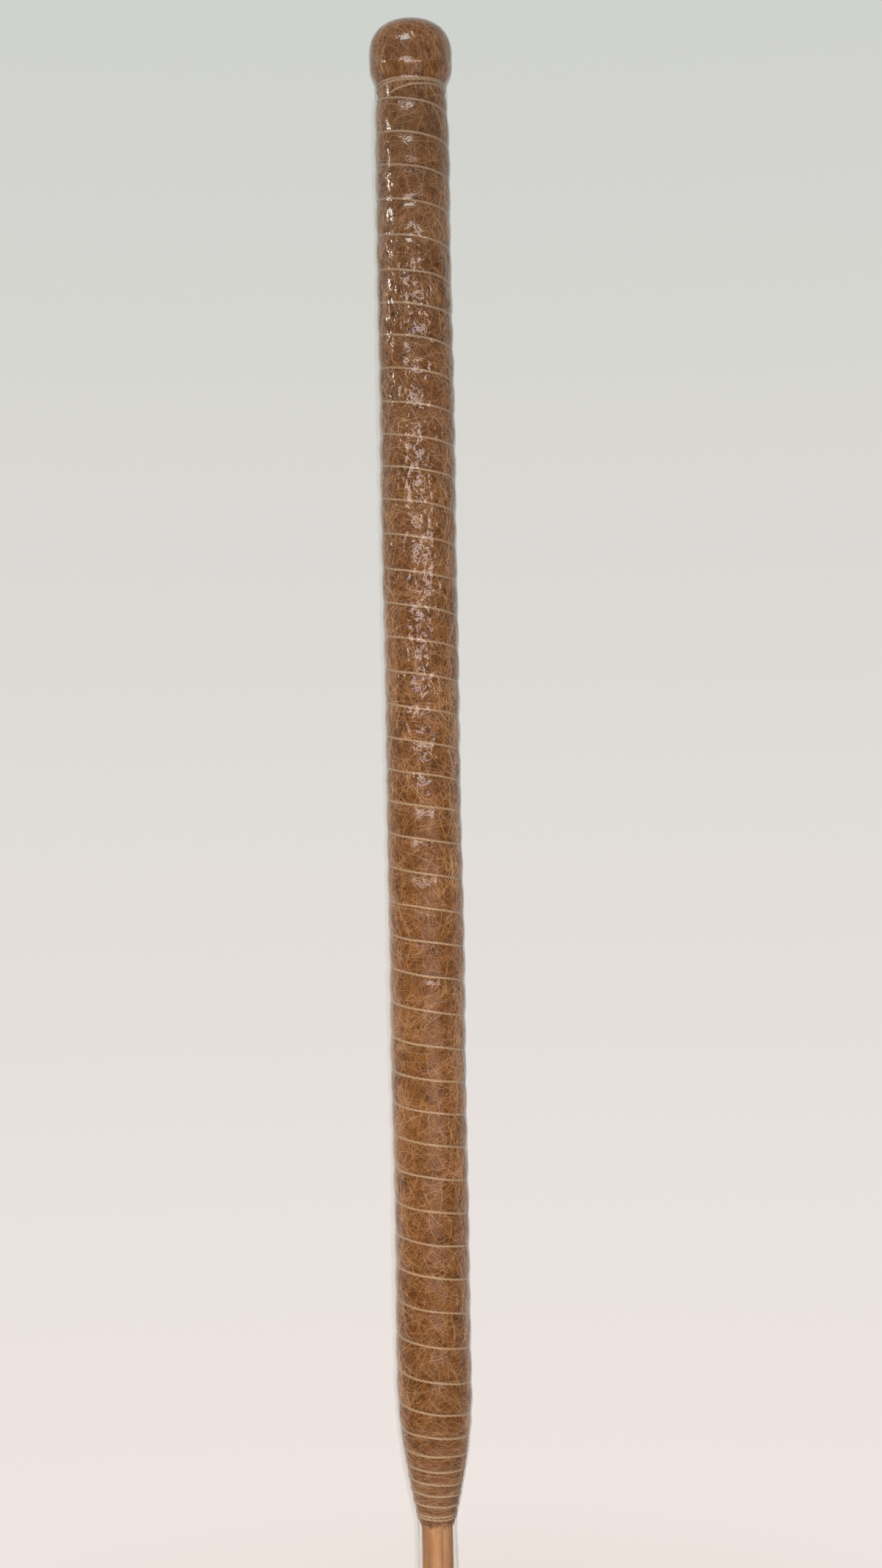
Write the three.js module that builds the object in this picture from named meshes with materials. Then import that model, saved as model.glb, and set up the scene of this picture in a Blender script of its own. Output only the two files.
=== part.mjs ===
// A climbing-plant pole: a bamboo cane padded with coir, capped with coir, bound with twine and
// sold in a clear shrink-film sleeve. Millimetres, +Z up. The origin is the middle of the cane's
// sawn foot, the front faces -Y and the film's seam runs down the -X side.
import * as THREE from "three";
import { mergeVertices } from "three/addons/utils/BufferGeometryUtils.js";

// Cane
const BARE_FOOT = 202; // bare length below the coir, which is pushed into the soil
const CANE_DIAMETER = 21;
const CANE_WALL = 4.5;
const CANE_EDGE = 0.8; // bevel round the sawn ends
const INTERNODE = 215; // from one node ring to the next
const FOOT_NODE = 6; // height of the lowest node ring, which the foot is sawn through
const NODE_SWELL = 0.8; // how far a node ring stands out of the cane
const NODE_WIDTH = 9;
// A node's outline from its lower to its upper edge: the old leaf's scar, a groove, then the ring.
// Each point is a share of the width and a share of the swell.
const NODE_OUTLINE = [
  [-0.5, 0],
  [-0.2, 0.45],
  [-0.05, 0.15],
  [0.15, 1],
  [0.5, 0],
];
const SEPTUM = 5; // thickness of the wall across the cane at a node

// Coir
const COIR_LENGTH = 1018; // from the lower edge to the crown of the cap
const CORE_THICKNESS = 5.7; // first padding, round the cane
const SLEEVE_THICKNESS = 7.4; // outer mat, round the padding
const TAPER_LENGTH = 88; // where the mat is drawn down onto the cane
const TAPER_EDGE = 1.6; // thickness left at the mat's lower edge
const NECK_DRAW = 2.2; // how far the mat is drawn in under the cap
const NECK_LENGTH = 62; // over which it is drawn in
const CAP_HEIGHT = 41.5; // from the neck to the crown
const CAP_DOME = 23; // height of the rounded top
const CAP_OVERHANG = 2.4; // how far the cap stands out past the mat
const CAP_SQUARENESS = 0.84; // below 1, the dome's shoulder is fuller than a half-round
const CAP_UNDERCUT = 2.8; // how far the cap is drawn in at the neck
const CAP_TUCK = 10; // height over which it is drawn in
const CAP_STEM = 50; // length of the cap's stem, which is trapped under the mat
const CROWN_COVER = 14; // coir over the cane's top end

// Twine
const TWINE_DIAMETER = 2.1;
const TWINE_PITCH = 22.6; // height of one turn on the straight of the pole
const TAPER_PITCH = 7; // height of one turn at the foot of the taper
const TWINE_BITE = 1.5; // how deep a turn pulls into the mat
const TIE_GAP = 0.45; // free space between the turns of a tie
const NECK_TURNS = 2.45;
const FOOT_TURNS = 2.4;
const TIE_INSET = 0.4; // from an end of the mat to the nearest turn of its tie
const TAIL_DROP = 4.2; // how far the neck tie's tail hangs below the tie
const TAIL_SWEEP = THREE.MathUtils.degToRad(40); // angle that the tail spans
const TWINE_START = THREE.MathUtils.degToRad(-136); // where the binding starts, under the tail
const NECK_TIE_START = THREE.MathUtils.degToRad(-126); // the tail's end, left of the front
const FOOT_TIE_START = THREE.MathUtils.degToRad(60);

// Film
const FILM_THICKNESS = 0.3; // stands for shrink film of a twentieth of a millimetre
const FILM_FOOT_GAP = 14; // from the foot up to the film's open lower edge
const FILM_SLACK = 2.2; // free space round the bare cane
const FILM_GATHER = 7; // below the mat's edge, where the film widens over the foot tie
const SEAM_HEIGHT = 3.4; // how far the welded seam stands out
const SEAM_WIDTH = 3.6;

const CLEARANCE = 0.3; // between pieces that touch

// Facets
const STEPS = 16; // round one turn of twine, and round the mat under it
const TWINE_SIDES = 5;
const ROUND = 24; // round a revolved piece
const MAT_ROWS = [0.25, 0.75]; // rows of the mat between two turns, where it swells
const CAP_ROWS = 6; // on the cap's bulge, and again on its dome
const TAPER_ROWS = 5; // of the film over the taper
const NECK_ROWS = 3; // of the film where the mat is drawn in
const TAIL_STEPS = 5;
const SAME_POINT = 0.003; // points of one piece that are closer than this are one point

// Places worked out from those sizes
const caneRadius = CANE_DIAMETER / 2;
const nodeRadius = caneRadius + NODE_SWELL;
const coreRadius = nodeRadius + CLEARANCE + CORE_THICKNESS;
const matRadius = coreRadius + CLEARANCE + SLEEVE_THICKNESS;
const edgeRadius = caneRadius + CLEARANCE + TAPER_EDGE;
const capRadius = matRadius + CAP_OVERHANG;
const twineRadius = TWINE_DIAMETER / 2;
const twineReach = twineRadius + CLEARANCE; // from a turn's middle to what it rests on
const tiePitch = TWINE_DIAMETER + TIE_GAP;

const crownHeight = BARE_FOOT + COIR_LENGTH;
const caneTop = crownHeight - CROWN_COVER - CLEARANCE;
const neckHeight = crownHeight - CAP_HEIGHT;
const matTop = neckHeight - CLEARANCE;
const stemFoot = neckHeight - CAP_STEM;
const taperTop = BARE_FOOT + TAPER_LENGTH;
const neckTieTop = matTop - TIE_INSET - twineRadius;
const neckTieFoot = neckTieTop - NECK_TURNS * tiePitch;
const bindingTop = neckTieFoot - TAIL_DROP - tiePitch;
const footTieFoot = BARE_FOOT + TIE_INSET + twineRadius;
const footTieTop = footTieFoot + FOOT_TURNS * tiePitch;
const bindingFoot = footTieTop + tiePitch;

const { clamp, lerp } = THREE.MathUtils;
const quarterSine = (t) => Math.sin((clamp(t, 0, 1) * Math.PI) / 2);
const vec2 = (radius, height) => new THREE.Vector2(radius, height);

// Heights of the cane's node rings, from the foot up
const nodeHeights = [];
for (let z = FOOT_NODE; z < caneTop - NODE_WIDTH; z += INTERNODE) nodeHeights.push(z);

// Corners of the cane's outline, as heights and radii, and its radius at any height between them
const caneCorners = nodeHeights.flatMap((node) =>
  NODE_OUTLINE.map(([along, swell]) => vec2(caneRadius + swell * NODE_SWELL, node + along * NODE_WIDTH)),
);
function caneRadiusAt(z) {
  const above = caneCorners.findIndex((corner) => corner.y > z);
  if (above < 1) return caneRadius;
  const [low, high] = caneCorners.slice(above - 1, above + 1);
  return lerp(low.x, high.x, (z - low.y) / (high.y - low.y));
}

// Outer line of the cane between two heights, set off outwards
function caneLine(low, high, offset = 0) {
  const corners = caneCorners.filter((corner) => corner.y > low && corner.y < high);
  const heights = [low, ...corners.map((corner) => corner.y), high];
  return heights.map((z) => vec2(caneRadiusAt(z) + offset, z));
}

// Radius of the mat's swells: full along the pole, drawn in at the neck and down to the cane at the foot
function matLine(z) {
  const t = clamp((z - BARE_FOOT) / TAPER_LENGTH, 0, 1);
  const foot = lerp(edgeRadius, matRadius, (t + quarterSine(t)) / 2);
  const neck = NECK_DRAW * (1 - quarterSine((bindingTop - z) / NECK_LENGTH));
  return foot - (z > taperTop ? neck : 0);
}

// Height of one turn of twine at a height: steady, then closing up as the taper narrows
function pitchAt(z) {
  const t = clamp((z - BARE_FOOT) / TAPER_LENGTH, 0, 1);
  return lerp(TAPER_PITCH, TWINE_PITCH, t * t);
}

// Heights of the binding, one for each step round, from the neck tie down to the foot tie
const bindingHeights = [bindingTop];
for (let z = bindingTop; z > bindingFoot; ) {
  z = Math.max(bindingFoot, z - pitchAt(z) / STEPS);
  bindingHeights.push(z);
}
const lastStep = bindingHeights.length - 1;
const bindingHeight = (i) => bindingHeights[clamp(i, 0, lastStep)];
const bindingAngle = (i) => TWINE_START + (2 * Math.PI * i) / STEPS;

// Radius of the mat's spiral groove, which is as deep as its turns are tall
const grooveLine = (z) => matLine(z) - (TWINE_BITE * pitchAt(z)) / TWINE_PITCH;

// The mat under step i of the binding, and its swell between that step and the turn above
function grooveAt(i) {
  return vec2(grooveLine(bindingHeight(i)), bindingHeight(i));
}
function swellAt(i, row) {
  const high = bindingHeight(i - STEPS);
  const low = bindingHeight(i);
  const z = lerp(high, low, row);
  return vec2(grooveLine(z) + TWINE_BITE * Math.min(1, (high - low) / TWINE_PITCH), z);
}

// Middle of the twine where it rests on both flanks of its groove
function seatAt(i) {
  const groove = grooveAt(i);
  const up = swellAt(i, MAT_ROWS.at(-1)).sub(groove);
  const down = swellAt(i + STEPS, MAT_ROWS[0]).sub(groove);
  const upNormal = up.y > 0 ? vec2(up.y, -up.x).normalize() : vec2(1, 0);
  const downNormal = down.y < 0 ? vec2(-down.y, down.x).normalize() : vec2(1, 0);
  const out = upNormal.clone().add(downNormal).normalize();
  return groove.addScaledVector(out, twineReach / out.dot(upNormal));
}

// Middle of a turn of a tie, which lies on the mat beside its neighbours
const seatOnBand = (bandHeight, z) => vec2(grooveLine(bandHeight) + twineReach, z);

const at = (angle, { x: radius, y: height }) =>
  new THREE.Vector3(radius * Math.cos(angle), radius * Math.sin(angle), height);

// Collects faces between rings of points and turns them into one closed surface
class Skin {
  positions = [];
  faces = [];
  add(point) {
    this.positions.push(point.x, point.y, point.z);
    return this.positions.length / 3 - 1;
  }
  ring(angles, point) {
    return angles.map((angle, i) => this.add(at(angle, typeof point === "function" ? point(i) : point)));
  }
  quad(lowLeft, lowRight, highRight, highLeft) {
    this.faces.push(lowLeft, lowRight, highRight, lowLeft, highRight, highLeft);
  }
  band(low, high) {
    low.forEach((corner, i) => {
      const next = (i + 1) % low.length;
      this.quad(corner, low[next], high[next], high[i]);
    });
  }
  fan(ring, tip) {
    ring.forEach((corner, i) => this.faces.push(corner, ring[(i + 1) % ring.length], tip));
  }
  geometry() {
    const raw = new THREE.BufferGeometry();
    raw.setAttribute("position", new THREE.Float32BufferAttribute(this.positions, 3));
    raw.setIndex(this.faces);
    const merged = mergeVertices(raw, SAME_POINT);
    const kept = [];
    const index = merged.index.array;
    for (let i = 0; i < index.length; i += 3) {
      const [a, b, c] = index.slice(i, i + 3);
      if (a !== b && b !== c && c !== a) kept.push(a, b, c);
    }
    merged.setIndex(kept);
    merged.computeVertexNormals();
    return merged;
  }
}

// A solid of revolution about Z from a line of (radius, height) points
function revolved(line) {
  return new THREE.LatheGeometry(line, ROUND).rotateX(Math.PI / 2);
}

// A tube through points about the pole's axis, with square ends
function twineTube(points) {
  const skin = new Skin();
  const corner = (2 * Math.PI) / TWINE_SIDES;
  const rings = points.map((point, i) => {
    const back = points[Math.max(0, i - 1)];
    const ahead = points[Math.min(points.length - 1, i + 1)];
    const along = ahead.clone().sub(back).normalize();
    const out = new THREE.Vector3(point.x, point.y, 0);
    out.addScaledVector(along, -out.dot(along)).normalize();
    const side = along.clone().cross(out);
    return Array.from({ length: TWINE_SIDES }, (_, k) => {
      const spoke = out.clone().multiplyScalar(Math.cos(k * corner));
      spoke.addScaledVector(side, Math.sin(k * corner));
      return skin.add(point.clone().addScaledVector(spoke, twineRadius));
    });
  });
  rings.slice(1).forEach((ring, i) => skin.band(rings[i], ring));
  skin.fan([...rings[0]].reverse(), skin.add(points[0]));
  skin.fan(rings.at(-1), skin.add(points.at(-1)));
  return skin.geometry();
}

// Least free gap between parts of one winding that are at least half a turn apart
function leastGap(points) {
  let least = Infinity;
  points.forEach((a, i) => {
    for (let j = i + STEPS / 2; j < Math.min(points.length, i + 2 * STEPS); j++)
      least = Math.min(least, a.distanceTo(points[j]));
  });
  return least - TWINE_DIAMETER;
}

// Bamboo cane: sawn through a node at the foot, with the top internode left open above its last septum
function caneGeometry() {
  const boreRadius = caneRadius - CANE_WALL;
  const boreFoot = nodeHeights.at(-1) + SEPTUM / 2;
  return revolved([
    vec2(0, 0),
    vec2(caneRadius - CANE_EDGE, 0),
    ...caneLine(CANE_EDGE, caneTop - CANE_EDGE),
    vec2(caneRadius - CANE_EDGE, caneTop),
    vec2(boreRadius, caneTop),
    vec2(boreRadius, boreFoot + boreRadius / 2),
    vec2(boreRadius / 2, boreFoot),
    vec2(0, boreFoot),
  ]);
}

// First padding of coir, wound straight onto the cane between the taper and the cap's stem
function coreGeometry() {
  const foot = taperTop;
  const top = stemFoot - CLEARANCE;
  const inside = caneLine(foot, top, CLEARANCE).reverse();
  const line = [vec2(coreRadius, foot), vec2(coreRadius, top), ...inside];
  return revolved([...line, line[0].clone()]);
}

// Outer coir mat: it swells between the turns of the binding, which pull it in along a spiral groove
function matGeometry() {
  const skin = new Skin();
  const round = Array.from({ length: STEPS }, (_, i) => bindingAngle(i));
  const columns = lastStep + STEPS;
  const grooves = Array.from({ length: columns + STEPS + 1 }, (_, n) => {
    const i = n - STEPS;
    return skin.add(at(bindingAngle(i), grooveAt(i)));
  });
  const swells = Array.from({ length: columns + 1 }, (_, i) =>
    MAT_ROWS.map((row) => skin.add(at(bindingAngle(i), swellAt(i, row)))),
  );
  const column = (i) => [grooves[i], ...swells[i], grooves[i + STEPS]];
  for (let i = 0; i < columns; i++) {
    const left = column(i);
    const right = column(i + 1);
    for (let k = 0; k + 1 < left.length; k++) skin.quad(left[k + 1], right[k + 1], right[k], left[k]);
  }
  const topBand = [bindingTop, matTop].map((z) => skin.ring(round, vec2(grooveLine(bindingTop), z)));
  const footBand = [BARE_FOOT, bindingFoot].map((z) => skin.ring(round, vec2(grooveLine(z), z)));
  const flats = Math.cos(Math.PI / STEPS); // the bore's flats, not its corners, keep the clearance
  const inside = [
    ...caneLine(BARE_FOOT, taperTop - CLEARANCE, CLEARANCE),
    vec2(coreRadius + CLEARANCE, taperTop - CLEARANCE),
    vec2(coreRadius + CLEARANCE, matTop),
  ].map((point) => skin.ring(round, vec2(point.x / flats, point.y)));
  const rings = [...topBand, ...inside.reverse(), ...footBand];
  rings.slice(1).forEach((ring, i) => skin.band(rings[i], ring));
  return skin.geometry();
}

// Outer line of the cap's head from the neck to the crown, set off outwards
function capLine(offset = 0) {
  const wide = crownHeight - CAP_DOME;
  const line = [];
  for (let i = 0; i < CAP_ROWS; i++) {
    const t = i / CAP_ROWS;
    const undercut = CAP_UNDERCUT * (1 - quarterSine(t));
    line.push(vec2(capRadius + offset - undercut, neckHeight + CAP_TUCK * t));
  }
  for (let i = 0; i < CAP_ROWS; i++) {
    const turn = (i / CAP_ROWS) * (Math.PI / 2);
    const across = Math.cos(turn) ** CAP_SQUARENESS;
    const up = Math.sin(turn) ** CAP_SQUARENESS;
    line.push(vec2((capRadius + offset) * across, wide + (CAP_DOME + offset) * up));
  }
  return [...line, vec2(0, crownHeight + offset)];
}

// Coir cap: a rounded head over the cane's top end, with a stem that the mat is tied round
function capGeometry() {
  const bore = caneLine(stemFoot, caneTop + CLEARANCE, CLEARANCE).reverse();
  return revolved([
    vec2(0, caneTop + CLEARANCE),
    ...bore,
    vec2(coreRadius, stemFoot),
    vec2(coreRadius, neckHeight),
    ...capLine(),
  ]);
}

// Twine round the neck, with a tail that slants down to the left of the front
function neckTiePoints() {
  const tail = Array.from({ length: TAIL_STEPS }, (_, i) => {
    const t = i / TAIL_STEPS;
    return at(NECK_TIE_START + TAIL_SWEEP * t, seatOnBand(bindingTop, neckTieFoot - TAIL_DROP * (1 - t)));
  });
  const turns = Array.from({ length: Math.round(NECK_TURNS * STEPS) + 1 }, (_, i) => {
    const turn = i / STEPS;
    const angle = NECK_TIE_START + TAIL_SWEEP + 2 * Math.PI * turn;
    return at(angle, seatOnBand(bindingTop, neckTieFoot + turn * tiePitch));
  });
  return [...tail, ...turns];
}

// Twine round the mat's lower edge
function footTiePoints() {
  return Array.from({ length: Math.round(FOOT_TURNS * STEPS) + 1 }, (_, i) => {
    const turn = i / STEPS;
    const z = footTieTop - turn * tiePitch;
    return at(FOOT_TIE_START + 2 * Math.PI * turn, seatOnBand(z, z));
  });
}

// The binding, in its groove all the way down
function bindingPoints() {
  return bindingHeights.map((_, i) => at(bindingAngle(i), seatAt(i)));
}

// Inner line of the film: loose round the bare cane, tight over the turns of twine and over the cap
function filmLine() {
  const flank = TWINE_BITE / (MAT_ROWS[0] * TWINE_PITCH);
  const lean = (matRadius - edgeRadius) / TAPER_LENGTH;
  const twineHeight = twineReach * Math.hypot(1, flank + lean) + twineReach;
  const loose = nodeRadius + FILM_SLACK;
  const overTwine = (z) => vec2(Math.max(loose, grooveLine(z) + twineHeight), z);
  const line = [vec2(loose, FILM_FOOT_GAP), vec2(loose, BARE_FOOT - FILM_GATHER)];
  line.push(vec2(overTwine(footTieTop).x, BARE_FOOT));
  for (let i = 1; i <= TAPER_ROWS; i++) line.push(overTwine(lerp(footTieTop, taperTop, i / TAPER_ROWS)));
  const neckFoot = bindingTop - NECK_LENGTH;
  for (let i = 0; i <= NECK_ROWS; i++) line.push(overTwine(lerp(neckFoot, bindingTop, i / NECK_ROWS)));
  return [...line, ...capLine(CLEARANCE)];
}

// Clear film: a thin shell, open at the foot, closed over the cap, with the welded seam standing out as a fin
function filmGeometry() {
  const skin = new Skin();
  const line = filmLine();
  const crown = line.pop();
  const seamAngle = Math.PI;
  const seamHalf = SEAM_WIDTH / 2 / matRadius;
  const plain = Array.from({ length: ROUND }, (_, i) => (2 * Math.PI * i) / ROUND);
  const clearOfSeam = plain.filter((angle) => Math.abs(angle - seamAngle) > 2 * seamHalf);
  const seam = [-1, -0.5, 0, 0.5, 1].map((share) => seamAngle + share * seamHalf);
  const angles = [...clearOfSeam, ...seam].sort((a, b) => a - b);
  const fin = (angle, z) => {
    const across = Math.max(0, 1 - Math.abs(angle - seamAngle) / seamHalf);
    return SEAM_HEIGHT * across * quarterSine((crown.y - CAP_DOME - z) / CAP_DOME);
  };
  const shell = (offset) =>
    line.map(({ x, y }) => skin.ring(angles, (i) => vec2(x + offset + fin(angles[i], y), y)));
  const inner = shell(0);
  const outer = shell(FILM_THICKNESS);
  inner.slice(1).forEach((ring, i) => skin.band(ring, inner[i]));
  outer.slice(1).forEach((ring, i) => skin.band(outer[i], ring));
  skin.band(inner[0], outer[0]);
  skin.fan([...inner.at(-1)].reverse(), skin.add(at(0, crown)));
  skin.fan(outer.at(-1), skin.add(at(0, vec2(0, crown.y + FILM_THICKNESS))));
  return skin.geometry();
}

const bamboo = new THREE.MeshStandardMaterial({ color: 0xbb8967, roughness: 0.5 });
const coir = new THREE.MeshStandardMaterial({ color: 0x8a5f3c, roughness: 0.95 });
const coirCore = new THREE.MeshStandardMaterial({ color: 0x6f4a2c, roughness: 0.95 });
const twine = new THREE.MeshStandardMaterial({ color: 0xb69274, roughness: 0.85 });
const film = new THREE.MeshStandardMaterial({
  color: 0xf4f4f2,
  roughness: 0.08,
  transparent: true,
  opacity: 0.2,
});

const windings = { neck_tie: neckTiePoints(), binding_twine: bindingPoints(), foot_tie: footTiePoints() };
for (const [name, points] of Object.entries(windings)) {
  const long = new THREE.CurvePath();
  points.slice(1).forEach((point, i) => long.add(new THREE.LineCurve3(points[i], point)));
  const gap = leastGap(points).toFixed(2);
  console.log(`${name}: ${Math.round(long.getLength())} mm long, least gap to itself ${gap} mm`);
}

const pole = new THREE.Group();
function place(name, geometry, material) {
  const mesh = new THREE.Mesh(geometry, material);
  mesh.name = name;
  pole.add(mesh);
}
place("bamboo_cane", caneGeometry(), bamboo);
place("coir_core_padding", coreGeometry(), coirCore);
place("coir_sleeve_mat", matGeometry(), coir);
place("coir_top_cap", capGeometry(), coir);
for (const [name, points] of Object.entries(windings)) place(name, twineTube(points), twine);
place("clear_film_sleeve", filmGeometry(), film);

export default pole;
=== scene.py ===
"""A coir climbing pole on a bamboo cane, bound with twine and wrapped in clear shrink film.

Sizes are in millimetres and are turned into metres where a mesh is made. The pole stands on +Z, its
front faces -Y, and angles round it are measured from +X towards +Y.
"""
import logging
import math
from dataclasses import dataclass, field
from enum import Enum

import bpy
import numpy as np
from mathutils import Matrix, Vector


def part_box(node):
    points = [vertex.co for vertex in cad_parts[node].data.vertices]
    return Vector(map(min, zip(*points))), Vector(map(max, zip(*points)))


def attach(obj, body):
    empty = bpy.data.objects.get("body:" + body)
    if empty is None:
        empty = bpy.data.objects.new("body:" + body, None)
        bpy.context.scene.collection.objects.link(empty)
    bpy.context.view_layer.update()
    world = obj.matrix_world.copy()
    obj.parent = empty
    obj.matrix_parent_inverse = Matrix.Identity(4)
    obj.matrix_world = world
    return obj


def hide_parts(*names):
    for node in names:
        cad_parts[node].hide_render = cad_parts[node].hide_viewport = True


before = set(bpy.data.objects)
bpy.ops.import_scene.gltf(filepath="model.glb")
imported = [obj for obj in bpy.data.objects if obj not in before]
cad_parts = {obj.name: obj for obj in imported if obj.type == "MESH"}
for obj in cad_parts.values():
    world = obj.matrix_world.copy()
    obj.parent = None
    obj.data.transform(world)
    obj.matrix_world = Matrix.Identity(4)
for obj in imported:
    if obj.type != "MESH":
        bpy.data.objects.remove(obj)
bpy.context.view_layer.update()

MM = 0.001
TURN = 2.0 * math.pi
TINY = 1e-9
WALL_SHARE = 0.9
LOG = logging.getLogger("coir_pole")

Array = np.ndarray
Random = np.random.Generator
Span = tuple[float, float]
Place = tuple[float, float, float]
Socket = bpy.types.NodeSocket
Material = bpy.types.Material


class Slot(Enum):
    """Material slots of the record that pieces take their finish from."""

    BAMBOO = "bamboo"
    COIR = "coir"
    TWINE = "twine"
    FILM = "film"


def linear(hex_colour: str) -> tuple[float, float, float, float]:
    """Turn an sRGB hex colour into linear light.

    Args:
        hex_colour: Six hex digits, such as "B69476".

    Returns:
        Red, green, blue and an alpha of one.
    """
    encoded = [int(hex_colour[i:i + 2], 16) / 255.0 for i in (0, 2, 4)]
    red, green, blue = (c / 12.92 if c <= 0.04045 else ((c + 0.055) / 1.055) ** 2.4 for c in encoded)
    return red, green, blue, 1.0


def smooth(t: Array) -> Array:
    """Ease from 0 to 1 as t goes from 0 to 1, level at both ends."""
    t = np.clip(t, 0.0, 1.0)
    return t * t * (3.0 - 2.0 * t)


def quarter_sine(t: Array) -> Array:
    """Rise from 0 to 1 along a quarter of a sine wave as t goes from 0 to 1."""
    return np.sin(np.clip(t, 0.0, 1.0) * math.pi / 2.0)


def bell(away: Array, width: Array | float) -> Array:
    """Bell curve, which is 1 where away is 0 and falls off over the width."""
    return np.exp(-(away / width) ** 2)


def heights(node: str) -> Span:
    """Lowest and highest point of a solid of the frame, in millimetres."""
    low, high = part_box(node)
    return low[2] / MM, high[2] / MM


def ring_angles(columns: int) -> Array:
    """Angles of evenly spaced points round a ring, in radians."""
    return np.arange(columns) * TURN / columns


def on_pole(angle: Array, radius: Array | float, height: Array | float) -> Array:
    """Points at an angle, a radius and a height about the pole's axis.

    Args:
        angle: Angles in radians.
        radius: Distances from the axis in millimetres.
        height: Heights in millimetres.

    Returns:
        The points, with x, y and z in the last dimension.
    """
    angle, radius, height = np.broadcast_arrays(angle, radius, height)
    return np.stack([radius * np.cos(angle), radius * np.sin(angle), height], axis=-1)


@dataclass(frozen=True)
class Wave:
    """A sine wave round and along the pole: size, crests in a turn, millimetres in a radian, and phase."""

    size: float
    crests: float = 0.0
    length: float = math.inf
    phase: float = 0.0

    def at(self, angle: Array | float, height: Array | float) -> Array:
        """Height of the wave at angles in radians and heights in millimetres."""
        return self.size * np.sin(self.crests * angle + height / self.length + self.phase)


def add_up(waves: tuple[Wave, ...], angle: Array | float = 0.0, height: Array | float = 0.0) -> Array:
    """Sum of several waves at angles in radians and heights in millimetres."""
    return sum(wave.at(angle, height) for wave in waves)


def ripples(angle: Array, height: Array, rng: Random, waves: int, length: Span, radius: float) -> Array:
    """A closed random ripple round the pole: a sum of plane waves with whole numbers of crests round it.

    Args:
        angle: Angles in radians.
        height: Heights in millimetres.
        rng: Source of the waves' lengths, directions and phases.
        waves: How many waves are added up.
        length: Shortest and longest wave in millimetres.
        radius: Radius at which the waves have those lengths.

    Returns:
        Heights of the ripple, with a spread of about one.
    """
    total = np.zeros(np.broadcast(angle, height).shape)
    for size, way, phase in rng.random((waves, 3)):
        number = TURN / (length[0] + size * (length[1] - length[0]))
        crests = np.rint(number * np.cos(way * math.pi) * radius)
        total += np.sin(crests * angle + number * np.sin(way * math.pi) * height + TURN * phase)
    return total / math.sqrt(waves / 2.0)


class Nodes:
    """The node tree of a material or of the world, while it is being filled."""

    def __init__(self, owner: Material | bpy.types.World) -> None:
        """Give the owner an empty node tree.

        Args:
            owner: Material or world that takes the nodes.
        """
        self.owner = owner
        owner.use_nodes = True
        owner.node_tree.nodes.clear()

    def add(self, kind: str, inputs: dict | None = None, out: str | int = 0,
            stops: dict[float, str] | None = None, **settings: object) -> Socket | None:
        """Add a shader node, set it up and link it.

        Args:
            kind: Name of the node's type, without "ShaderNode".
            inputs: Input sockets by name or number, each with a value or with an output socket to link.
            out: Name or number of the output socket that is wanted.
            stops: Places from 0 to 1 on a colour ramp, each with an sRGB hex colour.
            **settings: Attributes of the node.

        Returns:
            The output socket, or None for a node without any.
        """
        tree = self.owner.node_tree
        node = tree.nodes.new("ShaderNode" + kind)
        for name, value in settings.items():
            setattr(node, name, value)
        for key, value in (inputs or {}).items():
            if isinstance(value, Socket):
                tree.links.new(value, node.inputs[key])
            else:
                node.inputs[key].default_value = value
        for number, (place, colour) in enumerate(sorted((stops or {}).items())):
            elements = node.color_ramp.elements
            element = elements[number] if number < len(elements) else elements.new(place)
            element.position = place
            element.color = linear(colour)
        return node.outputs[out] if node.outputs else None

    def patches(self, size: Place, detail: float = 3.0, swirl: float = 0.0) -> Socket:
        """Add a pattern of soft patches with a real size, on object coordinates.

        Args:
            size: Patch size along x, y and z in millimetres.
            detail: How many finer layers the pattern has.
            swirl: How far it is swirled.

        Returns:
            The pattern's value socket, from 0 to 1.
        """
        scale = tuple(1.0 / (length * MM) for length in size)
        place = self.add("Mapping", {"Vector": self.add("TexCoord", out="Object"), "Scale": scale})
        return self.add("TexNoise", {"Vector": place, "Scale": 1.0, "Detail": detail, "Distortion": swirl})

    def cover(self, shader: Socket, output: str = "OutputMaterial") -> Material | bpy.types.World:
        """Let a shader cover the whole owner, and give the owner back."""
        self.add(output, {"Surface": shader})
        return self.owner


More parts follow.
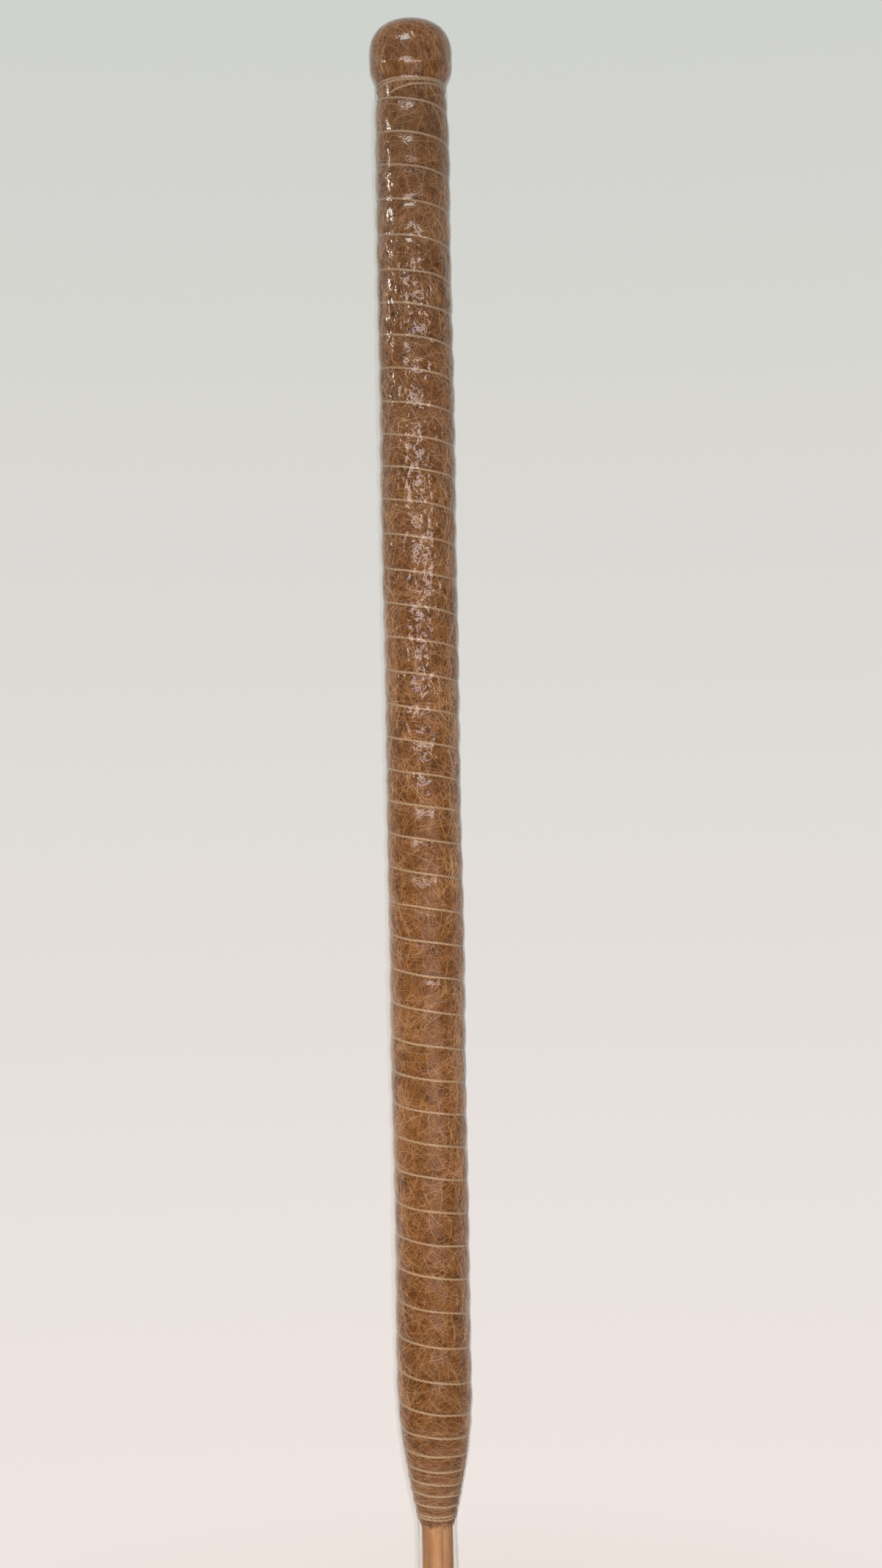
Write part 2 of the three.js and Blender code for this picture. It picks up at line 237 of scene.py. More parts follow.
@dataclass(frozen=True)
class BambooFinish:
    """Peeled bamboo, sanded: pale pinkish tan with fine straight grain and a few darker streaks."""

    pale: str = "CEA67E"
    body: str = "B8885F"
    streak: str = "936B49"
    bundle: str = "7A5236"
    # The real grain lines are about 0.3 mm apart, so they are drawn wider in order to show.
    grain: Place = (0.7, 0.7, 120.0)
    grain_depth: float = 0.09
    grain_share: float = 0.5
    cloud: Place = (6.0, 6.0, 40.0)
    streak_share: float = -0.2
    bundle_gap: float = 0.8
    bundle_depth: float = 0.1

    def side(self) -> Material:
        """Make the finish of the cane's skin: long grain lines that the sanding left slightly proud.

        Returns:
            The material.
        """
        nodes = Nodes(bpy.data.materials.new("bamboo, peeled and sanded"))
        fine = nodes.patches(self.grain)
        mixed = nodes.patches(self.cloud, detail=2.0)
        streak = nodes.add("Attribute", out="Fac", attribute_name="tone")
        for pattern, share in ((fine, self.grain_share), (streak, self.streak_share)):
            mixed = nodes.add("Math", {0: pattern, 1: share, 2: mixed}, operation="MULTIPLY_ADD")
        stops = {0.3: self.streak, 0.66: self.body, 0.95: self.pale}
        relief = {"Height": fine, "Distance": self.grain_depth * MM, "Strength": 1.0}
        return nodes.cover(nodes.add("BsdfPrincipled", {
            "Base Color": nodes.add("ValToRGB", {"Fac": mixed}, stops=stops),
            "Roughness": 0.62,
            "Specular IOR Level": 0.25,
            "Normal": nodes.add("Bump", relief),
        }))

    def sawn(self) -> Material:
        """Make the finish of the sawn ends: dark dots of fibre bundles in paler pith.

        Returns:
            The material.
        """
        nodes = Nodes(bpy.data.materials.new("bamboo, sawn end grain"))
        dotted = {"Vector": nodes.add("TexCoord", out="Object"), "Scale": 1.0 / (self.bundle_gap * MM)}
        dots = nodes.add("TexVoronoi", dotted, out="Distance")
        relief = {"Height": dots, "Distance": self.bundle_depth * MM, "Strength": 1.0}
        return nodes.cover(nodes.add("BsdfPrincipled", {
            "Base Color": nodes.add("ValToRGB", {"Fac": dots}, stops={0.1: self.bundle, 0.4: self.pale}),
            "Roughness": 0.85,
            "Normal": nodes.add("Bump", relief),
        }))


@dataclass(frozen=True)
class CoirFinish:
    """Coconut fibre, retted and dried: from dark brown to straw, with a dull sheen along each fibre."""

    # The darkest mat colour is painted shade, for the hollows of the mat and the gaps between fibres.
    hollow_shade: str = "4A290B"
    ground: str = "925F28"
    tones: tuple[str, ...] = ("4A290B", "7E4B1B", "A66E36", "C38F56", "DCB68A")
    tone_range: float = 0.9
    clump: Place = (6.5, 6.5, 6.5)
    clump_share: float = 0.6
    patch: Place = (30.0, 30.0, 30.0)
    patch_share: float = 0.34
    ways: tuple[float, ...] = (-58.0, -15.0, 24.0, 66.0)
    strand: Place = (9.0, 0.5, 1.0)
    mat_clump_share: float = 0.4
    mat_depth: float = 0.8

    def mat(self) -> Material:
        """Make the finish of the packed fibre that shows in the gaps between the upper fibres, with painted
        shade that darkens it into the hollows of its bump relief.

        Returns:
            The material.
        """
        nodes = Nodes(bpy.data.materials.new("coir, packed mat"))
        place = nodes.add("UVMap", uv_map="unrolled")
        upper = None
        for way in self.ways:
            laid = {"Vector": place, "Rotation": (0.0, 0.0, math.radians(way)), "Scale": self.strand}
            turned = nodes.add("Mapping", laid, vector_type="TEXTURE")
            layer = nodes.add("TexNoise", {"Vector": turned, "Scale": 1.0, "Detail": 2.0})
            upper = layer if upper is None else nodes.add("Math", {0: layer, 1: upper}, operation="MAXIMUM")
        clump = nodes.patches(self.clump, detail=2.0)
        upper = nodes.add("Math", {0: clump, 1: self.mat_clump_share, 2: upper}, operation="MULTIPLY_ADD")
        # Painted shade: the colour follows the relief's height and is darkest brown in its hollows.
        stops = {0.62: self.hollow_shade, 0.75: self.ground, 0.9: self.tones[len(self.tones) // 2]}
        relief = {"Height": upper, "Distance": self.mat_depth * MM, "Strength": 1.0}
        return nodes.cover(nodes.add("BsdfPrincipled", {
            "Base Color": nodes.add("ValToRGB", {"Fac": upper}, stops=stops),
            "Roughness": 0.95,
            "Specular IOR Level": 0.15,
            "Normal": nodes.add("Bump", relief),
        }))

    def fibre(self) -> Material:
        """Make the finish of single fibres: one tone each, a little blotched along them and in patches.

        Returns:
            The material.
        """
        nodes = Nodes(bpy.data.materials.new("coir, single fibres"))
        mixed = nodes.add("Attribute", out="Fac", attribute_name="tone")
        clump = nodes.patches(self.clump, detail=2.0)
        patch = nodes.patches(self.patch, detail=1.0)
        for pattern, share in ((clump, self.clump_share), (patch, self.patch_share)):
            mixed = nodes.add("Math", {0: pattern, 1: share, 2: mixed}, operation="MULTIPLY_ADD")
        middle = (self.clump_share + self.patch_share) / 2.0
        even = nodes.add("MapRange", {0: mixed, 1: middle, 2: middle + self.tone_range})
        stops = dict(zip(np.linspace(0.0, 1.0, len(self.tones)).tolist(), self.tones))
        return nodes.cover(nodes.add("BsdfPrincipled", {
            "Base Color": nodes.add("ValToRGB", {"Fac": even}, stops=stops),
            "Roughness": 0.62,
            "Specular IOR Level": 0.3,
        }))


@dataclass(frozen=True)
class TwineFinish:
    """Thin two-ply jute twine: pale tan, dull and hairy, with painted shade that makes it darker in the lay
    between the plies.
    """

    valley_shade: str = "886B50"
    ply: str = "BC9F80"
    crest: str = "D2B89A"
    hair: str = "CFB594"
    fleck: Place = (0.9, 0.9, 0.4)
    fleck_share: float = 0.7
    fleck_depth: float = 0.25

    def ply_finish(self) -> Material:
        """Make the finish of the spun plies, with painted shade that darkens them where they touch.

        Returns:
            The material.
        """
        nodes = Nodes(bpy.data.materials.new("jute twine, two plies"))
        lay = nodes.add("Attribute", out="Fac", attribute_name="tone")
        fleck = nodes.patches(self.fleck, detail=4.0)
        mixed = nodes.add("Math", {0: fleck, 1: self.fleck_share, 2: lay}, operation="MULTIPLY_ADD")
        # Painted shade and highlight: the valley colour darkens the lay between the plies and the crest colour
        # lightens their tops.
        stops = {0.2: self.valley_shade, 0.6: self.ply, 0.95: self.crest}
        relief = {"Height": fleck, "Distance": self.fleck_depth * MM, "Strength": 1.0}
        return nodes.cover(nodes.add("BsdfPrincipled", {
            "Base Color": nodes.add("ValToRGB", {"Fac": mixed}, stops=stops),
            "Roughness": 0.85,
            "Specular IOR Level": 0.2,
            "Normal": nodes.add("Bump", relief),
        }))

    def hair_finish(self) -> Material:
        """Make the finish of the loose hairs on the twine, of which some are paler.

        Returns:
            The material.
        """
        nodes = Nodes(bpy.data.materials.new("jute twine, loose hairs"))
        tone = nodes.add("Attribute", out="Fac", attribute_name="tone")
        return nodes.cover(nodes.add("BsdfPrincipled", {
            "Base Color": nodes.add("ValToRGB", {"Fac": tone}, stops={0.0: self.ply, 1.0: self.hair}),
            "Roughness": 0.8,
            "Specular IOR Level": 0.2,
        }))


@dataclass(frozen=True)
class FilmFinish:
    """Shrink film, clear polyolefin: it shows the coir, glints where it is crinkled, is milky at folds."""

    clear: str = "FCFCFB"
    milk: str = "F2ECE8"
    mirror: str = "FFFFFF"
    gloss_at_front: float = 0.034
    gloss_rise: float = 5.0
    roughness: float = 0.13
    haze: float = 0.004
    fold_haze: float = 0.04
    crinkle: Place = (5.5, 5.5, 12.0)
    crinkle_depth: float = 2.4
    swirl: float = 0.7
    emboss: Place = (1.5, 1.5, 1.5)
    emboss_depth: float = 0.11

    def material(self) -> Material:
        """Make the film: clear, with gloss that grows at grazing angles and a faint haze.

        Returns:
            The material.
        """
        nodes = Nodes(bpy.data.materials.new("polyolefin shrink film, clear"))
        crumple = nodes.add("Attribute", out="Fac", attribute_name="crumple")
        crinkles = nodes.patches(self.crinkle, detail=0.5, swirl=self.swirl)
        printed = nodes.patches(self.emboss, detail=1.0)
        coarse = nodes.add("Bump", {
            "Height": crinkles, "Distance": self.crinkle_depth * MM, "Strength": crumple})
        normal = nodes.add("Bump", {
            "Height": printed, "Distance": self.emboss_depth * MM, "Strength": 1.0, "Normal": coarse})
        edge = nodes.add("LayerWeight", {"Blend": 0.5, "Normal": normal}, out="Facing")
        steep = nodes.add("Math", {0: edge, 1: self.gloss_rise}, operation="POWER")
        least = self.gloss_at_front
        shine = nodes.add("Math", {0: steep, 1: 1.0 - least, 2: least}, operation="MULTIPLY_ADD")
        fold = nodes.add("Attribute", out="Fac", attribute_name="tone")
        plain = nodes.add("Math", {0: 1.0, 1: fold}, operation="SUBTRACT", use_clamp=True)
        shine = nodes.add("Math", {0: shine, 1: plain}, operation="MULTIPLY")
        milky = nodes.add("Math", {0: fold, 1: self.fold_haze, 2: self.haze}, operation="MULTIPLY_ADD")
        clear = nodes.add("BsdfTransparent", {"Color": linear(self.clear)})
        white = nodes.add("BsdfDiffuse", {"Color": linear(self.milk)})
        gloss = nodes.add("BsdfGlossy", {
            "Color": linear(self.mirror), "Roughness": self.roughness, "Normal": normal})
        hazy = nodes.add("MixShader", {0: milky, 1: clear, 2: white})
        return nodes.cover(nodes.add("MixShader", {0: shine, 1: hazy, 2: gloss}))


def grid_faces(rows: int, columns: int) -> Array:
    """Quads of a grid that closes round its columns, which run anticlockwise, with the rows upwards.

    Args:
        rows: Rows of points.
        columns: Points in a row.

    Returns:
        Four point numbers for each face, which points outwards.
    """
    row, column = np.meshgrid(np.arange(rows - 1) * columns, np.arange(columns), indexing="ij")
    ahead = (column + 1) % columns
    corners = (row + column, row + ahead, row + columns + ahead, row + columns + column)
    return np.stack(corners, axis=-1).reshape(-1, 4)


def grid_places(rows: int, columns: int) -> Array:
    """Places of grid_faces' corners on a bake map that the grid fills.

    Args:
        rows: Rows of points.
        columns: Points in a row.

    Returns:
        Four places for each face, as u and v from 0 to 1.
    """
    row, column = np.meshgrid(np.arange(rows - 1), np.arange(columns), indexing="ij")
    u = np.stack([column, column + 1, column + 1, column], axis=-1) / columns
    v = np.stack([row, row, row + 1, row + 1], axis=-1) / (rows - 1)
    return np.stack([u, v], axis=-1).reshape(-1, 4, 2)


def fan_faces(ring: Array, tip: int) -> Array:
    """Triangles from a closed ring of point numbers to a tip that lies on their outer side.

    Args:
        ring: Point numbers, anticlockwise as seen from the tip.
        tip: Point number of the tip.

    Returns:
        Three point numbers for each face.
    """
    return np.stack([ring, np.roll(ring, -1), np.full_like(ring, tip)], axis=-1)


def end_fans(rows: int, columns: int) -> Array:
    """Fans that close both ends of a grid, to a tip that follows its points and to one more after that."""
    ring, count = np.arange(columns), rows * columns
    return np.concatenate([fan_faces(ring[::-1], count), fan_faces(ring + count - columns, count + 1)])


def closed_tube(wall: Array, first: Place | Array, last: Place | Array,
                ) -> tuple[Array, list[Array], list[Array]]:
    """Close the wall of a tube with a fan of faces over each end.

    Args:
        wall: Points of the wall: rows by columns by three.
        first: Point in the middle of the end at the first row.
        last: Point in the middle of the end at the last row.

    Returns:
        Points, faces, and the faces' places on a bake map, on which the ends are discs beside the wall.
    """
    rows, columns = wall.shape[:2]
    points = np.concatenate([wall.reshape(-1, 3), [first, last]])
    faces = [grid_faces(rows, columns), end_fans(rows, columns)]
    margin = 1.0 - WALL_SHARE
    turn = ring_angles(columns)
    turn = np.stack([turn, np.roll(turn, -1), turn], axis=-1)
    rim = 0.4 * margin * np.array([1.0, 1.0, 0.0])
    disc = 1.0 - margin / 2.0 + np.stack([rim * np.cos(turn), rim * np.sin(turn)], axis=-1)
    places = [grid_places(rows, columns) * WALL_SHARE, np.concatenate([disc, disc - (0.0, margin)])]
    return points, faces, places


def spokes(path: Array, out: Array, corners: int) -> Array:
    """Unit vectors round each point of a path, in the plane across it, the first of which points outwards.

    Args:
        path: Points in order along the last dimension but one.
        out: Outward directions at the points.
        corners: How many vectors there are at each point.

    Returns:
        The vectors, with a dimension of corners before the last.
    """
    along = np.gradient(path, axis=-2)
    along /= np.linalg.norm(along, axis=-1, keepdims=True)
    side = np.cross(along, out)
    side /= np.linalg.norm(side, axis=-1, keepdims=True) + TINY
    up = np.cross(side, along)
    corner = ring_angles(corners)[:, None]
    return np.cos(corner) * up[..., None, :] + np.sin(corner) * side[..., None, :]


@dataclass
class Piece:
    """A mesh that is worked out as arrays and then handed to the frame."""

    name: str
    slot: Slot
    points: Array
    faces: list[Array]
    maps: dict[str, list[Array]]
    shades: dict[str, Array] = field(default_factory=dict)
    face_finish: Array | None = None

    def make(self, finishes: list[Material], replaces: tuple[str, ...] = ()) -> bpy.types.Object:
        """Write the arrays into a mesh, dress it and let it ride on the pole.

        Args:
            finishes: Materials, of which face_finish picks one for each face.
            replaces: Solids of the frame that this piece stands for.

        Returns:
            The new object, at the origin.
        """
        mesh = bpy.data.meshes.new(self.name)
        corners = np.concatenate([f.ravel() for f in self.faces]).astype(np.int32)
        sizes = np.concatenate([np.full(len(f), f.shape[1]) for f in self.faces])
        starts = np.concatenate([[0], np.cumsum(sizes)[:-1]]).astype(np.int32)
        mesh.vertices.add(len(self.points))
        mesh.vertices.foreach_set("co", (self.points * MM).astype(np.float32).ravel())
        mesh.loops.add(len(corners))
        mesh.loops.foreach_set("vertex_index", corners)
        mesh.polygons.add(len(starts))
        mesh.polygons.foreach_set("loop_start", starts)
        mesh.polygons.foreach_set("use_smooth", np.ones(len(starts), dtype=bool))
        if self.face_finish is not None:
            mesh.polygons.foreach_set("material_index", self.face_finish.astype(np.int32))
        for name, places in self.maps.items():
            layer = mesh.uv_layers.new(name=name)
            layer.uv.foreach_set("vector", np.concatenate([p.ravel() for p in places]).astype(np.float32))
        for name, values in self.shades.items():
            attribute = mesh.attributes.new(name, "FLOAT", "POINT")
            attribute.data.foreach_set("value", values.astype(np.float32))
        mesh.update(calc_edges=True)
        for finish in finishes:
            mesh.materials.append(finish)
        piece = bpy.data.objects.new(self.name, mesh)
        bpy.context.collection.objects.link(piece)
        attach(piece, "root")
        if replaces:
            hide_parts(*replaces)
        LOG.info("%s: %d points, %d faces", self.name, len(self.points), len(starts))
        return piece


@dataclass(frozen=True)
class Tones:
    """Random shades of strands: a level, how much it rises with a strand's lift, and a spread. The rise with
    lift is painted shade: strands that lie lower, under others, are drawn darker.
    """

    level: float
    rise: float
    spread: float

    def draw(self, rng: Random, lift: Array) -> Array:
        """Draw a shade from 0 to 1 for each strand."""
        return np.clip(rng.normal(self.level + self.rise * lift, self.spread), 0.0, 1.0)


def strand_piece(name: str, slot: Slot, paths: Array, radius: Array, tone: Array,
                 out: Array | None = None) -> Piece:
    """Three-sided strands with pointed ends along many short paths.

    A strand's points are its path, its first and last point the tips. At each point between, three corners
    stand round the path at equal angles, in the plane across it, at a radius that narrows towards the tips.

    Args:
        name: Name of the piece.
        slot: Material slot.
        paths: Points of each path: strands by steps by three.
        radius: Half the thickness of each strand in millimetres.
        tone: A shade from 0 to 1 for each strand.
        out: Outward directions at the paths' points. By default they point away from the pole's axis.

    Returns:
        All strands as one piece.
    """
    sides, narrowing, margin = 3, 0.45, 0.05
    strands, steps, _ = paths.shape
    if out is None:
        out = paths * (1.0, 1.0, 0.0)
    inner, rings = slice(1, steps - 1), steps - 2
    thick = radius[:, None] * (1.0 - narrowing * np.linspace(-1.0, 1.0, steps)[inner] ** 4)
    tube = paths[:, inner, None, :] + spokes(paths, out, sides)[:, inner] * thick[:, :, None, None]
    points = np.concatenate([tube.reshape(strands, -1, 3), paths[:, :1], paths[:, -1:]], axis=1)
    faces = [grid_faces(rings, sides), end_fans(rings, sides)]
    # Each strand has a square of its own on the bake map, with its ends as small triangles in the middle
    per_side = math.ceil(math.sqrt(strands))
    cell = np.stack([np.arange(strands) % per_side, np.arange(strands) // per_side], axis=-1)
    triangle = 0.5 + margin * np.array([[-1.0, -1.0], [1.0, -1.0], [0.0, 1.0]])
    wall = np.clip(grid_places(rings, sides), margin, 1.0 - margin)
    ends = np.tile(triangle, (len(faces[1]), 1, 1))
    places = [(place + cell[:, None, None, :]) / per_side for place in (wall, ends)]
    shift = (np.arange(strands) * points.shape[1])[:, None, None]
    return Piece(
        name, slot, points.reshape(-1, 3),
        [(face + shift).reshape(-1, face.shape[1]) for face in faces],
        {"OFBake": [place.reshape(-1, place.shape[2], 2) for place in places]},
        {"tone": np.repeat(tone, points.shape[1])},
    )


@dataclass
class PoleForm:
    """The lines that the pole's soft pieces share: the outlines of mat and cap, and the twine's spiral."""

    mat_radius: float = 25.0
    edge_radius: float = 12.0
    taper_length: float = 88.0
    taper_swell: float = 0.8
    neck_draw: float = 1.1
    neck_length: float = 40.0
    neck_gap: float = 0.3
    pitch: float = 22.6
    taper_pitch: float = 7.0
    pitch_waves: tuple[Wave, ...] = (Wave(0.03, length=41.0), Wave(0.03, length=17.0, phase=1.0))
    bite: float = 1.5
    swell_power: float = 3.2
    swell_end: float = 6.0
    mat_waves: tuple[Wave, ...] = (Wave(0.22, 3.0, 29.0), Wave(0.2, 2.0, -53.0))
    waves_end: Span = (60.0, 40.0)
    twine_radius: float = 1.05
    twine_proud: float = 0.55
    start_angle: float = math.radians(-136.0)
    station: float = 0.25
    past_ends: Span = (20.0, 40.0)
    cap_radius: float = 27.5
    cap_dome: float = 23.0
    cap_squareness: float = 0.82
    cap_undercut: float = 2.7
    cap_tuck: float = 10.0
    band_rise: Place = (0.0, 0.1, 0.9)
    band_drop: Place = (10.0, 3.5, 1.3)
    foot: float = field(init=False)
    mat_top: float = field(init=False)
    crown: float = field(init=False)
    neck: float = field(init=False)
    binding_top: float = field(init=False)
    binding_foot: float = field(init=False)
    stations: Array = field(init=False)
    turns: Array = field(init=False)

    def __post_init__(self) -> None:
        """Read the heights off the frame and add up the turns of twine along the pole."""
        self.foot, self.mat_top = heights("coir_sleeve_mat")
        self.crown = heights("coir_top_cap")[1]
        self.neck = self.mat_top + self.neck_gap
        low, high = heights("binding_twine")
        self.binding_foot, self.binding_top = low + self.twine_radius, high - self.twine_radius
        below, above = self.past_ends
        self.stations = np.arange(self.binding_top + above, self.foot - below, -self.station)
        turns = np.cumsum(self.station / self.pitch_at(self.stations))
        self.turns = turns - np.interp(-self.binding_top, -self.stations, turns)

    def along_taper(self, height: Array) -> Array:
        """Share of the taper below a height: 0 at the mat's lower edge and 1 where it has its full width."""
        return np.clip((height - self.foot) / self.taper_length, 0.0, 1.0)

    def turn_height(self, height: Array) -> Array:
        """Height of one turn of twine: steady, then closing up with the square of the taper's share."""
        return self.taper_pitch + (self.pitch - self.taper_pitch) * self.along_taper(height) ** 2

    def pitch_at(self, height: Array) -> Array:
        """Height of one turn with its small unevenness."""
        return self.turn_height(height) * (1.0 + add_up(self.pitch_waves, height=height))

    def turns_at(self, height: Array | float) -> Array:
        """Turns of twine from the binding's start down to a height."""
        return np.interp(-height, -self.stations, self.turns)

    def height_at(self, turns: Array) -> Array:
        """Height of the binding after a number of turns."""
        return np.interp(turns, self.turns, self.stations)

    def bite_at(self, height: Array) -> Array:
        """Depth of the groove under the twine, which shrinks with the height of a turn."""
        return self.bite * self.turn_height(height) / self.pitch

    def groove_line(self, height: Array | float) -> Array:
        """Radius at which the mat lies under the twine: the mat's outline less the depth of the bite.

        The taper's outline is halfway between a straight line and a quarter of a sine wave, and swells a
        little.

        Args:
            height: Heights in millimetres.

        Returns:
            Radii in millimetres.
        """
        share = self.along_taper(height)
        widening = (self.mat_radius - self.edge_radius) * (share + quarter_sine(share)) / 2.0
        outline = self.edge_radius + widening + self.taper_swell * np.sin(math.pi * share)
        drawn = self.neck_draw * (1.0 - quarter_sine((self.binding_top - height) / self.neck_length))
        return outline - drawn - self.bite_at(height)

    def from_twine(self, angle: Array, height: Array) -> Array:
        """Distance along the pole, in turns from 0 to 0.5, to the nearest turn of twine."""
        phase = self.turns_at(height) - (angle - self.start_angle) / TURN
        return np.abs(phase - np.rint(phase))

    def mat_surface(self, angle: Array, height: Array) -> Array:
        """Radius of the mat, which swells between the turns.

        The swell is one less a power of the distance from halfway between two turns, times the bite. Slow
        waves round and along the pole make it a little uneven.

        Args:
            angle: Angles in radians.
            height: Heights in millimetres.

        Returns:
            Radii in millimetres.
        """
        halfway = 1.0 - 2.0 * self.from_twine(angle, height)
        bound = smooth((self.binding_top + self.swell_end - height) / self.swell_end)
        swell = (1.0 - halfway ** self.swell_power) * bound
        return self.groove_line(height) + self.bite_at(height) * swell + self.uneven(angle, height)

    def uneven(self, angle: Array, height: Array) -> Array:
        """Slow waves of the mat, which the film follows and which die out at both ends.

        Args:
            angle: Angles in radians.
            height: Heights in millimetres.

        Returns:
            Heights of the waves in millimetres.
        """
        below, above = self.waves_end
        ends = smooth((height - self.foot) / below), smooth((self.binding_top - height) / above)
        return add_up(self.mat_waves, angle, height) * ends[0] * ends[1]

    def twine_seat(self, height: Array | float) -> Array:
        """Radius of the middle of the twine, which is half sunk into the mat."""
        return self.groove_line(height) + self.twine_proud

    def cap_line(self, steps: int, offset: float = 0.0) -> tuple[Array, Array]:
        """Outline of the cap from the neck over the tuck, the side and the dome to the crown.

        The tuck is a quarter of a sine wave and the dome a superellipse.

        Args:
            steps: Steps on the tuck, and again on the dome.
            offset: How far the line stands off outwards.

        Returns:
            Radii and heights in millimetres.
        """
        t = np.linspace(0.0, 1.0, steps)
        turn = np.linspace(0.0, math.pi / 2.0, steps + 1)
        across = np.clip(np.cos(turn), 0.0, 1.0) ** self.cap_squareness
        up = np.sin(turn) ** self.cap_squareness
        wide = self.cap_radius + offset
        tuck = wide - self.cap_undercut * (1.0 - quarter_sine(t))
        dome = self.crown - self.cap_dome + (self.cap_dome + offset) * up
        return np.concatenate([tuck, wide * across]), np.concatenate([self.neck + self.cap_tuck * t, dome])

    def head_line(self, steps: int, offset: float = 0.0) -> tuple[Array, Array]:
        """Outline of the cap with the band under the neck tie below it.

        Args:
            steps: Steps on the cap's tuck, and again on its dome.
            offset: How far the line stands off outwards.

        Returns:
            Radii and heights in millimetres.
        """
        radius, height = self.cap_line(steps, offset)
        band = self.groove_line(self.neck) + offset + np.array(self.band_rise)
        return np.concatenate([band, radius]), np.concatenate([self.neck - np.array(self.band_drop), height])


@dataclass
class BambooCane:
    """The stake: a round cane with node rings, sawn square."""

    finish: BambooFinish = BambooFinish()
    radius: float = 10.5
    edge: float = 0.8
    edge_middle: Span = (0.3, 0.25)
    internode: float = 215.0
    first_node: float = 6.0
    node_swell: float = 0.8
    node_width: float = 9.0
    node_places: tuple[float, ...] = (-0.5, -0.2, -0.05, 0.15, 0.5)
    node_rise: tuple[float, ...] = (0.0, 0.45, 0.15, 1.0, 0.0)
    node_rows: int = 21
    row_step: float = 6.0
    columns: int = 72
    flutes: tuple[Wave, ...] = (Wave(0.035, 17.0), Wave(0.03, 29.0, phase=1.0))
    seed: int = 5
    streaks: int = 11
    streak_width: Span = (0.04, 0.14)
    streak_depth: Span = (0.15, 0.6)
    front_streak: float = math.radians(-72.0)
    front_width: float = 0.12
    front_depth: float = 0.75
    wander: Wave = Wave(0.06, 9.0, 70.0)

    def outline(self, height: Array) -> Array:
        """Radius along the cane: plain, with a leaf scar, a groove and a ring at each node.

        Args:
            height: Heights in millimetres.

        Returns:
            Radii in millimetres.
        """
        away = (height - self.first_node + self.internode / 2.0) % self.internode - self.internode / 2.0
        ring = np.interp(away / self.node_width, self.node_places, self.node_rise)
        return self.radius + self.node_swell * ring

    def stain(self, angle: Array, height: Array) -> Array:
        """Darkness of the streaks: bell curves round the cane that wander slowly along it.

        Args:
            angle: Angles in radians.
            height: Heights in millimetres.

        Returns:
            Darkness from 0 to 1.
        """
        rng = np.random.default_rng(self.seed)
        places = np.append(rng.uniform(0.0, TURN, self.streaks), self.front_streak)
        widths = np.append(rng.uniform(*self.streak_width, self.streaks), self.front_width)
        depths = np.append(rng.uniform(*self.streak_depth, self.streaks), self.front_depth)
        wander = self.wander.at(places, height[..., None])
        away = np.angle(np.exp(1j * (angle[..., None] - places - wander)))
        return np.clip((depths * bell(away, widths)).sum(axis=-1), 0.0, 1.0)

    def build(self) -> None:
        """Make the cane: its outline turned round the axis, with shallow flutes, and a fan on each end."""
        top = heights("bamboo_cane")[1]
        low, high = self.edge, top - self.edge
        nodes = np.arange(self.first_node, top - self.node_width, self.internode)
        rings = (nodes[:, None] + self.node_width * np.linspace(-0.5, 0.5, self.node_rows)).ravel()
        rings = rings[(rings > low) & (rings < high)]
        side = np.unique(np.concatenate([np.arange(low, high, self.row_step), rings, [high]]))
        rise, inset = self.edge_middle
        rounded = self.radius - np.array([self.edge, inset])
        height = np.concatenate([[0.0, rise], side, [top - rise, top]])[:, None]
        radius = np.concatenate([rounded, self.outline(side), rounded[::-1]])[:, None]
        angle = ring_angles(self.columns)
        flutes = add_up(self.flutes, angle) * ((height > low) & (height < high))
        wall = on_pole(angle, radius + flutes, height)
        points, faces, places = closed_tube(wall, (0.0, 0.0, 0.0), (0.0, 0.0, top))
        sawn = np.repeat([0, 1], [len(face) for face in faces])
        tone = np.append(self.stain(angle, height).ravel(), [0.0, 0.0])
        piece = Piece("cane", Slot.BAMBOO, points, faces, {"OFBake": places}, {"tone": tone}, sawn)
        piece.make([self.finish.side(), self.finish.sawn()], ("bamboo_cane",))


